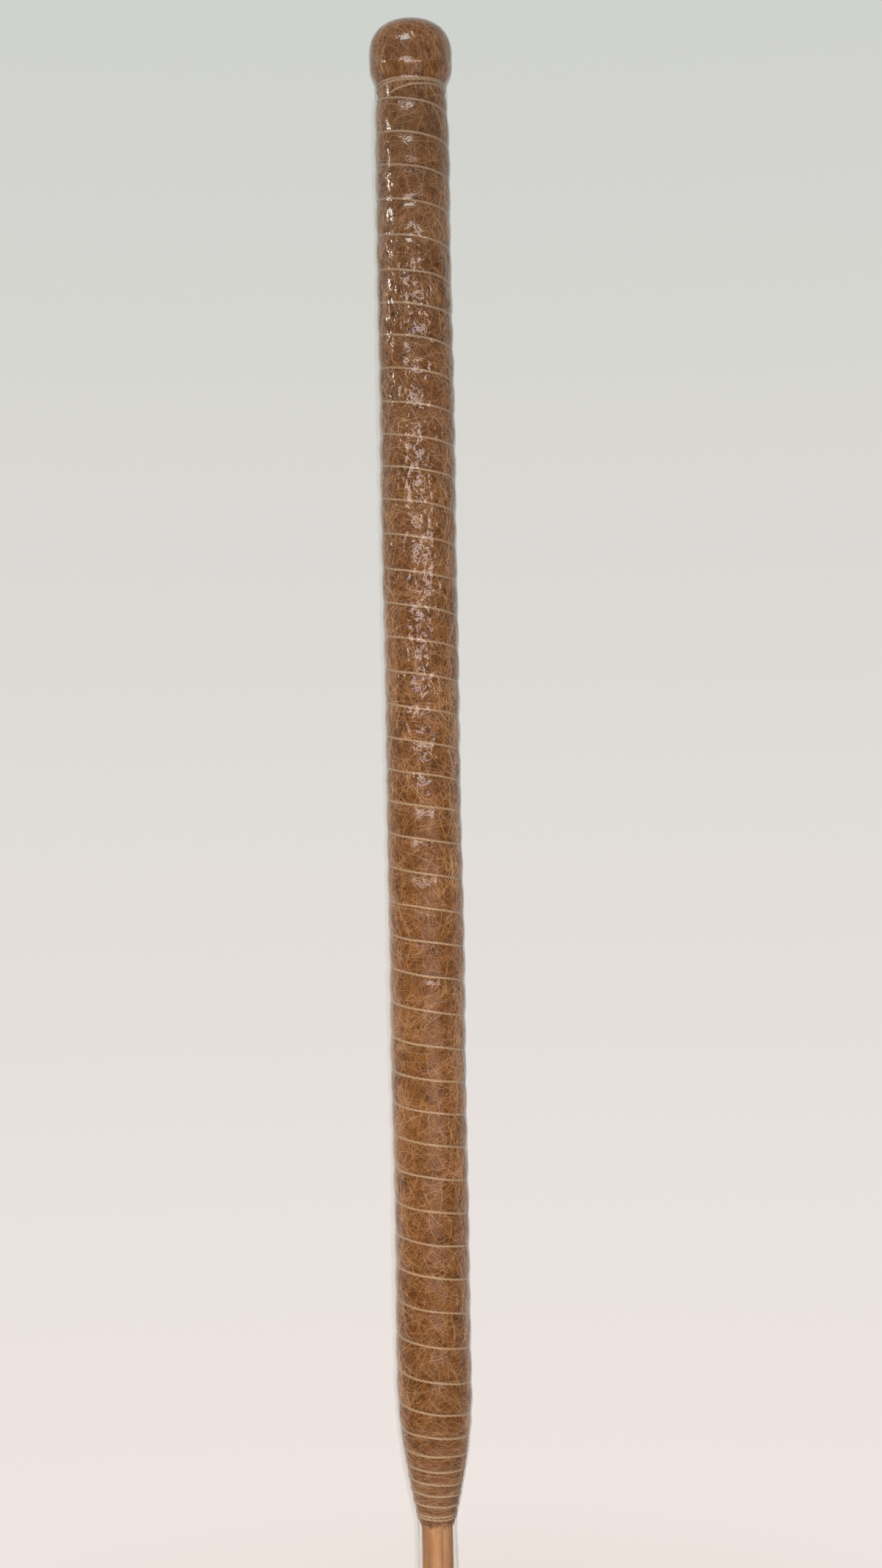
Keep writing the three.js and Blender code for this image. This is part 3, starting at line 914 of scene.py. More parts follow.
@dataclass
class CoirMat:
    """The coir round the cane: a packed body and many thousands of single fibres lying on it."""

    form: PoleForm
    finish: CoirFinish = CoirFinish()
    rows: int = 620
    columns: int = 112
    bore: float = 11.9
    least_wall: float = 0.3
    sunk: float = 0.8
    end_gaps: Span = (0.6, 0.3)
    lump: float = 0.16
    lumps: int = 24
    lump_length: Span = (5.0, 18.0)
    lump_seed: int = 11
    layers: int = 7
    fibres: int = 5700
    steps: int = 6
    length: Span = (14.0, 40.0)
    thickness: Span = (0.18, 0.38)
    # Painted shade: the fibres' shade rises with their lift, so lower layers are darker.
    tones: Tones = Tones(0.08, 0.62, 0.19)
    seed: int = 100
    long_fibres: int = 1900
    long_steps: int = 11
    long_length: Span = (32.0, 72.0)
    long_thickness: Span = (0.2, 0.4)
    long_tones: Tones = Tones(0.62, 0.0, 0.2)
    long_seed: int = 120
    middle_gaps: Span = (2.0, 1.5)
    fibre_gaps: Span = (0.5, 0.4)
    laid_foot: float = 10.0
    laid_share: float = 0.15
    bend: float = 0.022
    waver: float = 0.22
    waver_length: float = 4.0
    lift_spread: float = 0.25
    arch: float = 1.1
    arch_sunk: float = 0.8
    arch_dip: float = 0.6
    arch_most: float = 0.2
    kink: float = 0.1
    kink_rate: float = 0.9
    pressed: float = -0.1
    press_width: float = 1.9
    frayed: int = 320
    frayed_lean: float = 0.45
    frayed_start: Span = (2.0, 9.0)
    frayed_over: Span = (0.0, 1.2)
    frayed_past: Span = (-1.0, 4.5)
    frayed_gap: float = 0.7
    frayed_drop: Span = (2.0, 4.0)
    frayed_radius: Span = (0.08, 0.17)
    frayed_tones: Tones = Tones(0.45, 0.0, 0.2)
    frayed_seed: int = 93

    def body(self) -> None:
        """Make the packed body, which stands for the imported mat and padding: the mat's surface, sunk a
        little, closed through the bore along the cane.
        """
        form = self.form
        foot, top = form.foot + self.end_gaps[0], form.mat_top - self.end_gaps[1]
        height = np.linspace(foot, top, self.rows)[:, None]
        angle = ring_angles(self.columns)
        rng = np.random.default_rng(self.lump_seed)
        lumps = self.lump * ripples(angle, height, rng, self.lumps, self.lump_length, form.mat_radius)
        radius = np.maximum(form.mat_surface(angle, height) - self.sunk + lumps, self.bore + self.least_wall)
        bore = on_pole(angle, self.bore, np.array([[top], [foot]]))
        points = np.concatenate([on_pole(angle, radius, height), bore]).reshape(-1, 3)
        rows = self.rows + len(bore) + 1
        faces = grid_faces(rows, self.columns) % len(points)
        places = grid_places(rows, self.columns)
        unrolled = places * (TURN * form.mat_radius, form.mat_top - form.foot)
        piece = Piece("coir_body", Slot.COIR, points, [faces], {"OFBake": [places], "unrolled": [unrolled]})
        piece.make([self.finish.mat()], ("coir_sleeve_mat", "coir_core_padding"))

    def paths(self, rng: Random, lift: float, count: int, reach: Span, steps: int) -> tuple[Array, Array]:
        """Lay fibres at random on the mat.

        A fibre runs both ways from its middle along a direction that turns steadily and wavers, measured on
        the unrolled surface. It arches out of the mat in its middle, dips in at its ends and lies flat under
        the twine. On the taper fibres lie round the pole, as the winding drew them.

        Args:
            rng: Source of the fibres.
            lift: How far this layer stands out, from 0 to 1.
            count: How many fibres there are.
            reach: Shortest and longest fibre in millimetres.
            steps: Points along a fibre.

        Returns:
            Points of each fibre, and each fibre's own lift.
        """
        form = self.form
        length = rng.uniform(*reach, (count, 1))
        middle = rng.uniform(form.foot + self.middle_gaps[0], form.mat_top - self.middle_gaps[1], (count, 1))
        angle = rng.uniform(0.0, TURN, (count, 1))
        free = smooth((middle - form.foot - self.laid_foot) / form.taper_length)
        way = rng.uniform(-math.pi / 2.0, math.pi / 2.0, (count, 1))
        way = way * (self.laid_share + (1.0 - self.laid_share) * free)
        bend = rng.normal(0.0, self.bend, (count, 1))
        waver = rng.normal(0.0, self.waver, (count, 1))
        phase = rng.uniform(0.0, TURN, (count, 1))
        share = np.linspace(-1.0, 1.0, steps)
        run = share * length / 2.0
        heading = way + bend * run + waver * np.sin(run / self.waver_length + phase)
        heading = (heading[:, 1:] + heading[:, :-1]) / 2.0
        moves = np.diff(run, axis=1) * np.stack([np.cos(heading), np.sin(heading)])
        moved = np.concatenate([np.zeros((2, count, 1)), np.cumsum(moves, axis=2)], axis=2)
        across, up = moved - moved.mean(axis=2, keepdims=True)
        height = np.clip(middle + up, form.foot + self.fibre_gaps[0], form.mat_top - self.fibre_gaps[1])
        around = angle + across / form.groove_line(middle)
        own = lift + rng.uniform(-self.lift_spread, self.lift_spread, (count, 1))
        arch = own * self.arch - self.arch_sunk - self.arch_dip * share ** 4
        arch = np.minimum(arch + self.kink * np.sin(run * self.kink_rate + phase), self.arch_most)
        away = form.from_twine(around, height) * form.pitch_at(height)
        held = self.pressed + (arch - self.pressed) * (1.0 - bell(away, self.press_width))
        arch = np.where(arch > self.pressed, held, arch)
        return on_pole(around, form.mat_surface(around, height) + arch, height), own[:, 0]

    def fringe(self, material: Material) -> None:
        """Make the frayed lower edge: short fibres that run down off the mat and lie against the cane.

        Args:
            material: Finish of the fibres.
        """
        form, rows = self.form, (self.frayed, 1)
        rng = np.random.default_rng(self.frayed_seed)
        share = np.linspace(0.0, 1.0, self.steps)
        angle = rng.uniform(0.0, TURN, rows) + rng.normal(0.0, self.frayed_lean, rows) * share
        start = rng.uniform(*self.frayed_start, rows)
        over = rng.uniform(*self.frayed_over, rows)
        height = form.foot + start - (start + rng.uniform(*self.frayed_past, rows)) * share
        low = self.bore - self.frayed_gap + rng.uniform(0.0, self.frayed_gap, rows)
        high = form.groove_line(height) + over
        below, rise = self.frayed_drop
        radius = low + (high - low) * smooth((height - form.foot + below) / rise)
        tone = self.frayed_tones.draw(rng, np.zeros(self.frayed))
        thick = rng.uniform(*self.frayed_radius, self.frayed)
        strand_piece("coir_fringe", Slot.COIR, on_pole(angle, radius, height), thick, tone).make([material])

    def build(self) -> None:
        """Make the body, the layers of fibres, the lower ones darker as painted shade under the upper ones,
        the long fibres and the frayed edge.
        """
        self.body()
        fibre = self.finish.fibre()
        for layer in range(self.layers):
            rng = np.random.default_rng(self.seed + layer)
            paths, own = self.paths(rng, layer / (self.layers - 1), self.fibres, self.length, self.steps)
            radius = rng.uniform(*self.thickness, self.fibres) / 2.0
            # Painted shade: fibres that lie lower get darker shades.
            tone = self.tones.draw(rng, own)
            strand_piece(f"coir_fibres_{layer + 1}", Slot.COIR, paths, radius, tone).make([fibre])
        rng = np.random.default_rng(self.long_seed)
        paths, own = self.paths(rng, 1.0, self.long_fibres, self.long_length, self.long_steps)
        tone = self.long_tones.draw(rng, own)
        radius = rng.uniform(*self.long_thickness, self.long_fibres) / 2.0
        strand_piece("coir_long_fibres", Slot.COIR, paths, radius, tone).make([fibre])
        self.fringe(fibre)


@dataclass
class CoirCap:
    """The rounded cap: a packed knob over the cane's end, with fibres that are gathered at the neck."""

    form: PoleForm
    finish: CoirFinish = CoirFinish()
    columns: int = 112
    steps: int = 28
    sunk: float = 1.0
    stem: float = 50.0
    stem_radius: float = 17.0
    bore: float = 11.0
    cover: float = 14.0
    gathers: tuple[Wave, ...] = (Wave(0.3, 14.0), Wave(0.25, 23.0, phase=2.0))
    gather_length: float = 41.0
    gather_below: float = 0.1
    fibres: int = 6000
    fibre_steps: int = 7
    line_steps: int = 60
    spread_steps: int = 400
    length: Span = (12.0, 36.0)
    thickness: Span = (0.24, 0.56)
    # Painted shade: cap fibres that stand out less are drawn darker.
    tones: Tones = Tones(0.06, 0.5, 0.18)
    seed: int = 31
    crowding: float = 2.0
    upright: Span = (8.0, 26.0)
    ways: Span = (0.95, 0.55)
    bend: float = 0.03
    waver: Wave = Wave(0.25, 7.0, 4.0)
    least_swing: float = 0.35
    arch: float = 1.1
    arch_sunk: float = 0.75
    arch_dip: float = 0.6
    arch_lean: float = 0.4

    def body(self) -> None:
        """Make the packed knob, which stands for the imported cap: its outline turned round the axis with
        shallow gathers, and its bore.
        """
        form = self.form
        radius, height = form.head_line(self.steps, -self.sunk)
        stem_foot, bore_top = form.neck - self.stem, form.crown - self.cover
        radius = np.concatenate([[self.bore, self.bore, self.stem_radius, self.stem_radius], radius[:-1]])
        height = np.concatenate([[bore_top, stem_foot, stem_foot, height[0]], height[:-1]])
        angle = ring_angles(self.columns)
        drawn = np.clip((form.crown - height) / self.gather_length, 0.0, 1.0)
        drawn = drawn * (height > form.neck - self.gather_below)
        gathers = add_up(self.gathers, angle) * drawn[:, None]
        wall = on_pole(angle, radius[:, None] + gathers, height[:, None])
        points, faces, places = closed_tube(wall, (0.0, 0.0, bore_top), (0.0, 0.0, form.crown - self.sunk))
        unrolled = [place * (TURN * form.cap_radius, 2.0 * form.cap_radius + self.stem) for place in places]
        piece = Piece("cap_body", Slot.COIR, points, faces, {"OFBake": places, "unrolled": unrolled})
        piece.make([self.finish.mat()], ("coir_top_cap",))

    def paths(self, rng: Random) -> tuple[Array, Array]:
        """Draw fibres over the knob.

        A fibre follows a heading along the cap's outline, near upright at the neck and in any direction at
        the crown, where it is worked out on a flat disc so that it can cross the top.

        Args:
            rng: Source of the fibres.

        Returns:
            Points of each fibre, and each fibre's own lift.
        """
        count = self.fibres
        radius, height = self.form.head_line(self.line_steps)
        along = np.concatenate([[0.0], np.cumsum(np.hypot(np.diff(radius), np.diff(height)))])
        total = along[-1]
        fine = np.linspace(0.0, total, self.spread_steps)
        spread = np.cumsum(np.interp(fine, along, radius) + self.crowding)
        middle = np.interp(rng.random((count, 1)), spread / spread[-1], fine)
        angle = rng.uniform(0.0, TURN, (count, 1))
        length = rng.uniform(*self.length, (count, 1))
        near_neck = 1.0 - smooth((middle - self.upright[0]) / self.upright[1])
        way = rng.normal(0.0, 1.0, (count, 1)) * (self.ways[0] - self.ways[1] * near_neck)
        bend = rng.normal(0.0, self.bend, (count, 1))
        share = np.linspace(-1.0, 1.0, self.fibre_steps)
        run = share * length / 2.0
        heading = way + bend * run + self.waver.at(angle, run)
        reach = total - middle
        inwards, aside = reach - np.cos(heading) * run, np.sin(heading) * run
        place = total - np.clip(np.hypot(inwards, aside), 0.0, total)
        swing = np.interp(middle, along, radius) / np.maximum(reach, 1.0)
        turn = angle + np.arctan2(aside, inwards) / np.maximum(swing, self.least_swing)
        own = rng.uniform(0.0, 1.0, (count, 1))
        arch = np.minimum(own * self.arch - self.arch_sunk - self.arch_dip * share ** 4, 0.0)
        radius, height = np.interp(place, along, radius), np.interp(place, along, height)
        return on_pole(turn, radius + arch, height + self.arch_lean * arch), own[:, 0]

    def build(self) -> None:
        """Make the knob and its fibres."""
        self.body()
        rng = np.random.default_rng(self.seed)
        paths, own = self.paths(rng)
        radius = rng.uniform(*self.thickness, self.fibres) / 2.0
        # Painted shade: fibres that lie lower on the knob get darker shades.
        tone = self.tones.draw(rng, own)
        out = paths - (0.0, 0.0, self.form.crown - self.form.cap_dome)
        strand_piece("cap_fibres", Slot.COIR, paths, radius, tone, out).make([self.finish.fibre()])


@dataclass
class TwineBinding:
    """The two-ply twine: the neck tie with its tail, the long spiral and the foot tie, with loose hairs."""

    form: PoleForm
    finish: TwineFinish = TwineFinish()
    ply_offset: float = 0.26
    ply_radius: float = 0.7
    lay: float = 7.0
    # How far painted shade darkens the lay between the plies against their crests.
    lay_shading: float = 0.4
    end_tone: float = 0.3
    corners: int = 10
    step: float = 1.05
    turn_steps: int = 96
    lead: float = 0.3
    waver: tuple[Wave, ...] = (Wave(0.16, 11.0), Wave(0.12, 29.0, phase=1.0))
    tie_pitch: float = 2.1
    neck_turns: float = 2.45
    neck_gap: float = 0.2
    neck_steps: int = 200
    neck_bulge: Wave = Wave(0.12, 5.0)
    neck_waver: tuple[Wave, ...] = (Wave(0.55, 1.4, phase=1.0), Wave(0.15, 5.0))
    tail_drop: float = 4.6
    tail_curve: float = 1.3
    tail_steps: int = 24
    tail_sweep: float = math.radians(40.0)
    tail_angle: float = math.radians(-126.0)
    foot_turns: float = 2.4
    foot_gap: float = 0.4
    foot_steps: int = 180
    foot_angle: float = math.radians(60.0)
    foot_slack: Wave = Wave(0.35, 2.0)
    hairs: int = 3600
    hair_steps: int = 6
    hair_lead: float = 0.25
    hair_length: Span = (2.5, 8.0)
    hair_lean: float = 0.4
    hair_curve: float = 0.7
    hair_stand: Span = (0.2, 1.0)
    hair_rise: float = 1.1
    hair_fall: float = 0.75
    hair_gap: float = 0.1
    hair_radius: Span = (0.05, 0.1)
    hair_seed: int = 57

    def cord(self, name: str, path: Array, replaces: str, material: Material) -> None:
        """Carry the twine's section along a path.

        The section is the outline of two circles side by side: at an angle, the offset times the cosine plus
        the root of the squared radius less the squared offset times the sine. It turns once in each length
        of lay.

        Args:
            name: Name of the piece.
            path: Points of the path in millimetres.
            replaces: Solid of the frame that the twine stands for.
            material: Finish of the plies.
        """
        gone = np.concatenate([[0.0], np.cumsum(np.linalg.norm(np.diff(path, axis=0), axis=1))])
        rows = round(gone[-1] / self.step)
        place = np.linspace(0.0, gone[-1], rows)
        path = np.stack([np.interp(place, gone, axis) for axis in path.T], axis=-1)
        turned = ring_angles(self.corners) - TURN * place[:, None] / self.lay
        inside = self.ply_radius ** 2 - (self.ply_offset * np.sin(turned)) ** 2
        reach = self.ply_offset * np.abs(np.cos(turned)) + np.sqrt(inside)
        tube = path[:, None, :] + reach[:, :, None] * spokes(path, path * (1.0, 1.0, 0.0), self.corners)
        points, faces, _ = closed_tube(tube, path[0], path[-1])
        # The bake map takes the long wall in lines, one above the other
        margin, dot = 0.05, 0.004
        wide = grid_places(rows, self.corners)
        lines = math.ceil(math.sqrt(rows / self.corners) / 2.0) * 2
        along = wide[..., 1] * lines
        line = np.minimum(np.floor(along.min(axis=1)), lines - 1)[:, None]
        up = (line + margin + (1.0 - 2.0 * margin) * wide[..., 0]) / lines
        wall = np.stack([np.clip(along - line, 0.0, 1.0), up], axis=-1)
        ends = np.tile(dot * np.array([[0.0, 0.0], [1.0, 0.0], [0.0, 1.0]]), (len(faces[1]), 1, 1))
        # The tone paints shade into the twine: lowest in the lay where the plies meet, highest on their
        # crests.
        tone = np.append(np.abs(np.cos(turned)).ravel() * self.lay_shading, [self.end_tone, self.end_tone])
        piece = Piece(name, Slot.TWINE, points, faces, {"OFBake": [wall, ends]}, {"tone": tone})
        piece.make([material], (replaces,))

    def spiral(self) -> Array:
        """Path of the binding: steady in angle, with heights from the pitch, wavering, seated on the mat.

        Returns:
            Points of the path in millimetres.
        """
        form = self.form
        turns = np.arange(-self.lead, form.turns_at(form.binding_foot), 1.0 / self.turn_steps)
        height = form.height_at(turns)
        angle = form.start_angle + TURN * turns
        return on_pole(angle, form.twine_seat(height), height + add_up(self.waver, turns))

    def neck_tie(self) -> Array:
        """Path of the neck tie: a slanting tail, then close turns that climb under the cap.

        Returns:
            Points of the path in millimetres.
        """
        form = self.form
        foot = form.mat_top - self.neck_gap - form.twine_radius - self.neck_turns * self.tie_pitch
        tail = np.linspace(0.0, 1.0, self.tail_steps, endpoint=False)
        turns = np.linspace(0.0, self.neck_turns, self.neck_steps)
        start = self.tail_angle + self.tail_sweep
        angle = np.concatenate([self.tail_angle + self.tail_sweep * tail, start + TURN * turns])
        drop = self.tail_drop * (1.0 - tail) ** self.tail_curve
        height = np.concatenate([foot - drop, foot + self.tie_pitch * turns])
        radius = form.twine_seat(form.binding_top) + self.neck_bulge.at(angle, 0.0)
        return on_pole(angle, radius, height + add_up(self.neck_waver, angle))

    def foot_tie(self) -> Array:
        """Path of the foot tie: close turns round the mat's lower edge, the last one slack.

        Returns:
            Points of the path in millimetres.
        """
        form = self.form
        turns = np.linspace(0.0, self.foot_turns, self.foot_steps)
        height = form.foot + self.foot_gap + form.twine_radius + self.tie_pitch * (self.foot_turns - turns)
        angle = self.foot_angle + TURN * turns
        slack = self.foot_slack.at(angle, 0.0) * turns / self.foot_turns
        return on_pole(angle, form.twine_seat(height), height + slack)

    def loose_hairs(self) -> None:
        """Make the loose hairs: short strands that leave the twine at a shallow angle and lie on the mat."""
        form, rows = self.form, (self.hairs, 1)
        rng = np.random.default_rng(self.hair_seed)
        turns = rng.uniform(-self.hair_lead, form.turns_at(form.binding_foot), rows)
        length = rng.uniform(*self.hair_length, rows)
        lean = rng.normal(0.0, self.hair_lean, rows)
        share = np.linspace(0.0, 1.0, self.hair_steps)
        run = share * length * rng.choice([-1.0, 1.0], rows)
        height = form.height_at(turns)
        seat = form.twine_seat(height)
        angle = form.start_angle + TURN * turns + run / seat
        drift = lean * np.abs(run) * (1.0 - self.hair_curve + self.hair_curve * share)
        level = height - form.pitch_at(height) / TURN * run / seat + drift
        edge = np.minimum(np.abs(drift) / form.twine_radius, 1.0)
        stand = rng.uniform(*self.hair_stand, rows) * (self.hair_rise * (1.0 - self.hair_fall * edge))
        radius = np.maximum(seat + stand * (1.0 - edge), form.mat_surface(angle, level) + self.hair_gap)
        thick = rng.uniform(*self.hair_radius, self.hairs)
        paths, tone = on_pole(angle, radius, level), rng.random(self.hairs)
        strand_piece("twine_hairs", Slot.TWINE, paths, thick, tone).make([self.finish.hair_finish()])

    def build(self) -> None:
        """Make the three lengths of twine and the hairs."""
        plies = self.finish.ply_finish()
        self.cord("binding", self.spiral(), "binding_twine", plies)
        self.cord("neck_lashing", self.neck_tie(), "neck_tie", plies)
        self.cord("foot_lashing", self.foot_tie(), "foot_tie", plies)
        self.loose_hairs()


@dataclass
class ShrinkFilm:
    """The clear film: shrunk onto the pole, slack round the cane, with its welded seam as a fin."""

    form: PoleForm
    finish: FilmFinish = FilmFinish()
    thickness: float = 0.05
    over_groove: float = 1.66
    pillow: float = 0.62
    slack_radius: float = 13.3
    slack_flare: float = 200.0
    folds: tuple[Wave, ...] = (Wave(0.5, 3.0, 90.0), Wave(0.3, 7.0, -60.0, 1.0), Wave(0.2, 11.0, phase=2.0))
    folds_end: Span = (2.0, 30.0)
    cap_gap: float = 0.65
    cap_steps: int = 14
    crinkle: float = 0.14
    crinkles: int = 60
    crinkle_length: Span = (6.0, 18.0)
    crinkle_seed: int = 71
    calm_share: float = 0.6
    crown_end: Span = (1.0, 8.0)
    crumpled: Span = (670.0, 1110.0)
    crumpled_end: float = 60.0
    crumple_least: float = 0.12
    crumple_front: float = 0.88
    crumple_below: float = 0.16
    crumple_cap: float = 0.12
    crumple_crown: float = 0.3
    cap_end: float = 8.0
    seam_height: float = 2.7
    seam_level: float = 0.88
    seam_rise: Wave = Wave(0.12, length=31.0, phase=2.0)
    seam_sway: tuple[Wave, ...] = (Wave(0.45, length=23.0), Wave(0.3, length=9.0, phase=1.0))
    seam_lean: float = 1.3
    seam_gap: float = 0.16
    seam_base: float = 1.1
    seam_angle: float = math.pi
    seam_end: Span = (2.0, 24.0)
    seam_milk: float = 0.75
    seam_edge: float = 0.3
    seam_lines: tuple[Place, ...] = ((0.7, 0.55, 0.12), (1.0, 1.0, 0.25))
    row_step: float = 2.9
    neck_step: float = 1.0
    columns: int = 82
    seam_columns: int = 19

    def section(self) -> tuple[Array, Array, Array]:
        """Section of the film round the pole, which runs out along one side of the seam's fin and back.

        The fin stands out by one less the 1.5th power of the share across it. Its sides stand a gap apart
        and part further with the sixth power of that share, towards its foot.

        Returns:
            Angles, how far the fin stands out (0 to 1) and the side offsets on the fin in millimetres.
        """
        half = self.seam_base * 2.0 / self.form.mat_radius
        round_it = self.seam_angle + np.linspace(half, TURN - half, self.columns)
        across = np.linspace(-1.0, 1.0, self.seam_columns + 2)[1:-1]
        angle = np.concatenate([round_it, np.full(self.seam_columns, self.seam_angle + TURN)])
        out = np.concatenate([np.zeros(self.columns), 1.0 - np.abs(across) ** 1.5])
        aside = np.sign(across) * (self.seam_gap + self.seam_base * 2.0 * np.abs(across) ** 6)
        return angle, out, np.concatenate([np.zeros(self.columns), aside])

    def wall_radius(self, angle: Array, height: Array) -> Array:
        """Radius of the film below the cap.

        On the mat it is the groove line plus a steady height and a pillow between the turns of twine, which
        is one less the square of the distance from halfway. Round the bare cane it is the slack radius with
        upright folds.

        Args:
            angle: Angles in radians.
            height: Heights in millimetres.

        Returns:
            Radii in millimetres.
        """
        form = self.form
        halfway = 1.0 - 2.0 * form.from_twine(angle, height)
        pillow = self.pillow * form.bite_at(height) / form.bite * (1.0 - halfway ** 2)
        fitted = form.groove_line(height) + self.over_groove + pillow + form.uneven(angle, height)
        above, fade = self.folds_end
        folds = add_up(self.folds, angle, height) * smooth((form.foot + above - height) / fade)
        slack = self.slack_radius + folds + (form.foot - height) / self.slack_flare
        return np.where(height > form.foot, np.maximum(fitted, slack), slack)

    def shades(self, angle: Array, height: Array, out: Array, fade: Array, worst: Array) -> dict[str, Array]:
        """How milky and how crumpled the film is: milky on the fin, most at its weld and its fold.

        Args:
            angle: Angles in radians.
            height: Heights in millimetres.
            out: How far the fin stands out, from 0 to 1.
            fade: How much of the fin is left towards the cap, from 0 to 1.
            worst: How crumpled the film is along the pole, from 0 to 1.

        Returns:
            The point attributes that the film's finish reads, with the crown's value last.
        """
        lines = sum(size * bell(out - middle, width) for size, middle, width in self.seam_lines)
        milky = (self.seam_milk * smooth(out / self.seam_edge) + (1.0 - self.seam_milk) * lines) * fade
        front = np.clip(-np.sin(angle), 0.0, 1.0) ** 2
        crumple = self.crumple_least + self.crumple_front * worst * front
        crumple = crumple + self.crumple_below * smooth((self.crumpled[0] - height) / self.crumpled_end)
        crumple = crumple + self.crumple_cap * smooth((height - self.form.neck) / self.cap_end)
        crumple = crumple * (out == 0.0)
        crumple = np.append(crumple.ravel(), self.crumple_crown)
        return {"tone": np.append(milky.ravel(), 0.0), "crumple": crumple}

    def build(self) -> None:
        """Make the film.

        Slow ripples crinkle it all over. On the fin a point moves outwards by its share of the seam's height
        and sideways by its offset, and the fin sways along the pole.
        """
        form = self.form
        angle, out, offset = self.section()
        cap_radius, cap_height = form.cap_line(self.cap_steps, self.cap_gap)
        wall = np.arange(heights("clear_film_sleeve")[0], form.neck - self.neck_step, self.row_step)[:, None]
        height = np.concatenate([wall, cap_height[:-1, None]])
        rows, columns = len(height), len(angle)
        over_cap = np.repeat(cap_radius[:-1, None], columns, axis=1)
        radius = np.concatenate([self.wall_radius(angle, wall), over_cap])
        rng = np.random.default_rng(self.crinkle_seed)
        waves = ripples(angle, height, rng, self.crinkles, self.crinkle_length, form.mat_radius)
        low, high = self.crumpled
        worst = smooth((height - low) / self.crumpled_end) * smooth((high - height) / self.crumpled_end)
        waves = waves * (self.calm_share + (1.0 - self.calm_share) * worst)
        below, fall = self.crown_end
        radius = radius + self.crinkle * waves * smooth((form.crown - below - height) / fall)
        above, fall = self.seam_end
        fade = smooth((form.neck + above - height) / fall)
        fin = self.seam_height * out * fade * (self.seam_level + self.seam_rise.at(0.0, height))
        aside = offset + (add_up(self.seam_sway, height=height) - self.seam_lean) * fade * out ** 2
        tangent = on_pole(angle + TURN / 4.0, 1.0, 0.0)
        points = on_pole(angle, radius + fin, height) + tangent * aside[..., None]
        points = np.concatenate([points.reshape(-1, 3), [[0.0, 0.0, form.crown + self.cap_gap]]])
        tip = fan_faces(np.arange(columns) + (rows - 1) * columns, rows * columns)
        tip_places = np.tile([[0.97, 0.97], [0.98, 0.97], [0.97, 0.98]], (columns, 1, 1))
        piece = Piece("film", Slot.FILM, points, [grid_faces(rows, columns), tip],
                      {"OFBake": [grid_places(rows, columns) * 0.95, tip_places]},
                      self.shades(angle, height, out, fade, worst))
        film = piece.make([self.finish.material()], ("clear_film_sleeve",))
        skin = film.modifiers.new("film thickness", "SOLIDIFY")
        skin.thickness = self.thickness * MM
        skin.offset = 0.0


@dataclass(frozen=True)
class Lamp:
    """A rectangular lamp, with places and sizes in metres, its power in watts and its beam in degrees.

    One with a beam narrower than 180 degrees is a soft fill that gloss does not show.
    """

    name: str
    place: Place
    aim: Place
    size: Span
    power: float
    colour: str
    beam: float = 180.0

    def hang(self) -> None:
        """Add the lamp to the scene, facing its aim and hidden from the camera."""
        data = bpy.data.lights.new(self.name, "AREA")
        data.shape = "RECTANGLE"
        data.size, data.size_y = self.size
        data.energy = self.power
        data.color = linear(self.colour)[:3]
        data.spread = math.radians(self.beam)
        lamp = bpy.data.objects.new(self.name, data)
        lamp.location = self.place
        lamp.rotation_euler = (lamp.location - Vector(self.aim)).to_track_quat("Z", "Y").to_euler()
        lamp.visible_camera = False
        lamp.visible_glossy = self.beam == 180.0
        bpy.context.collection.objects.link(lamp)


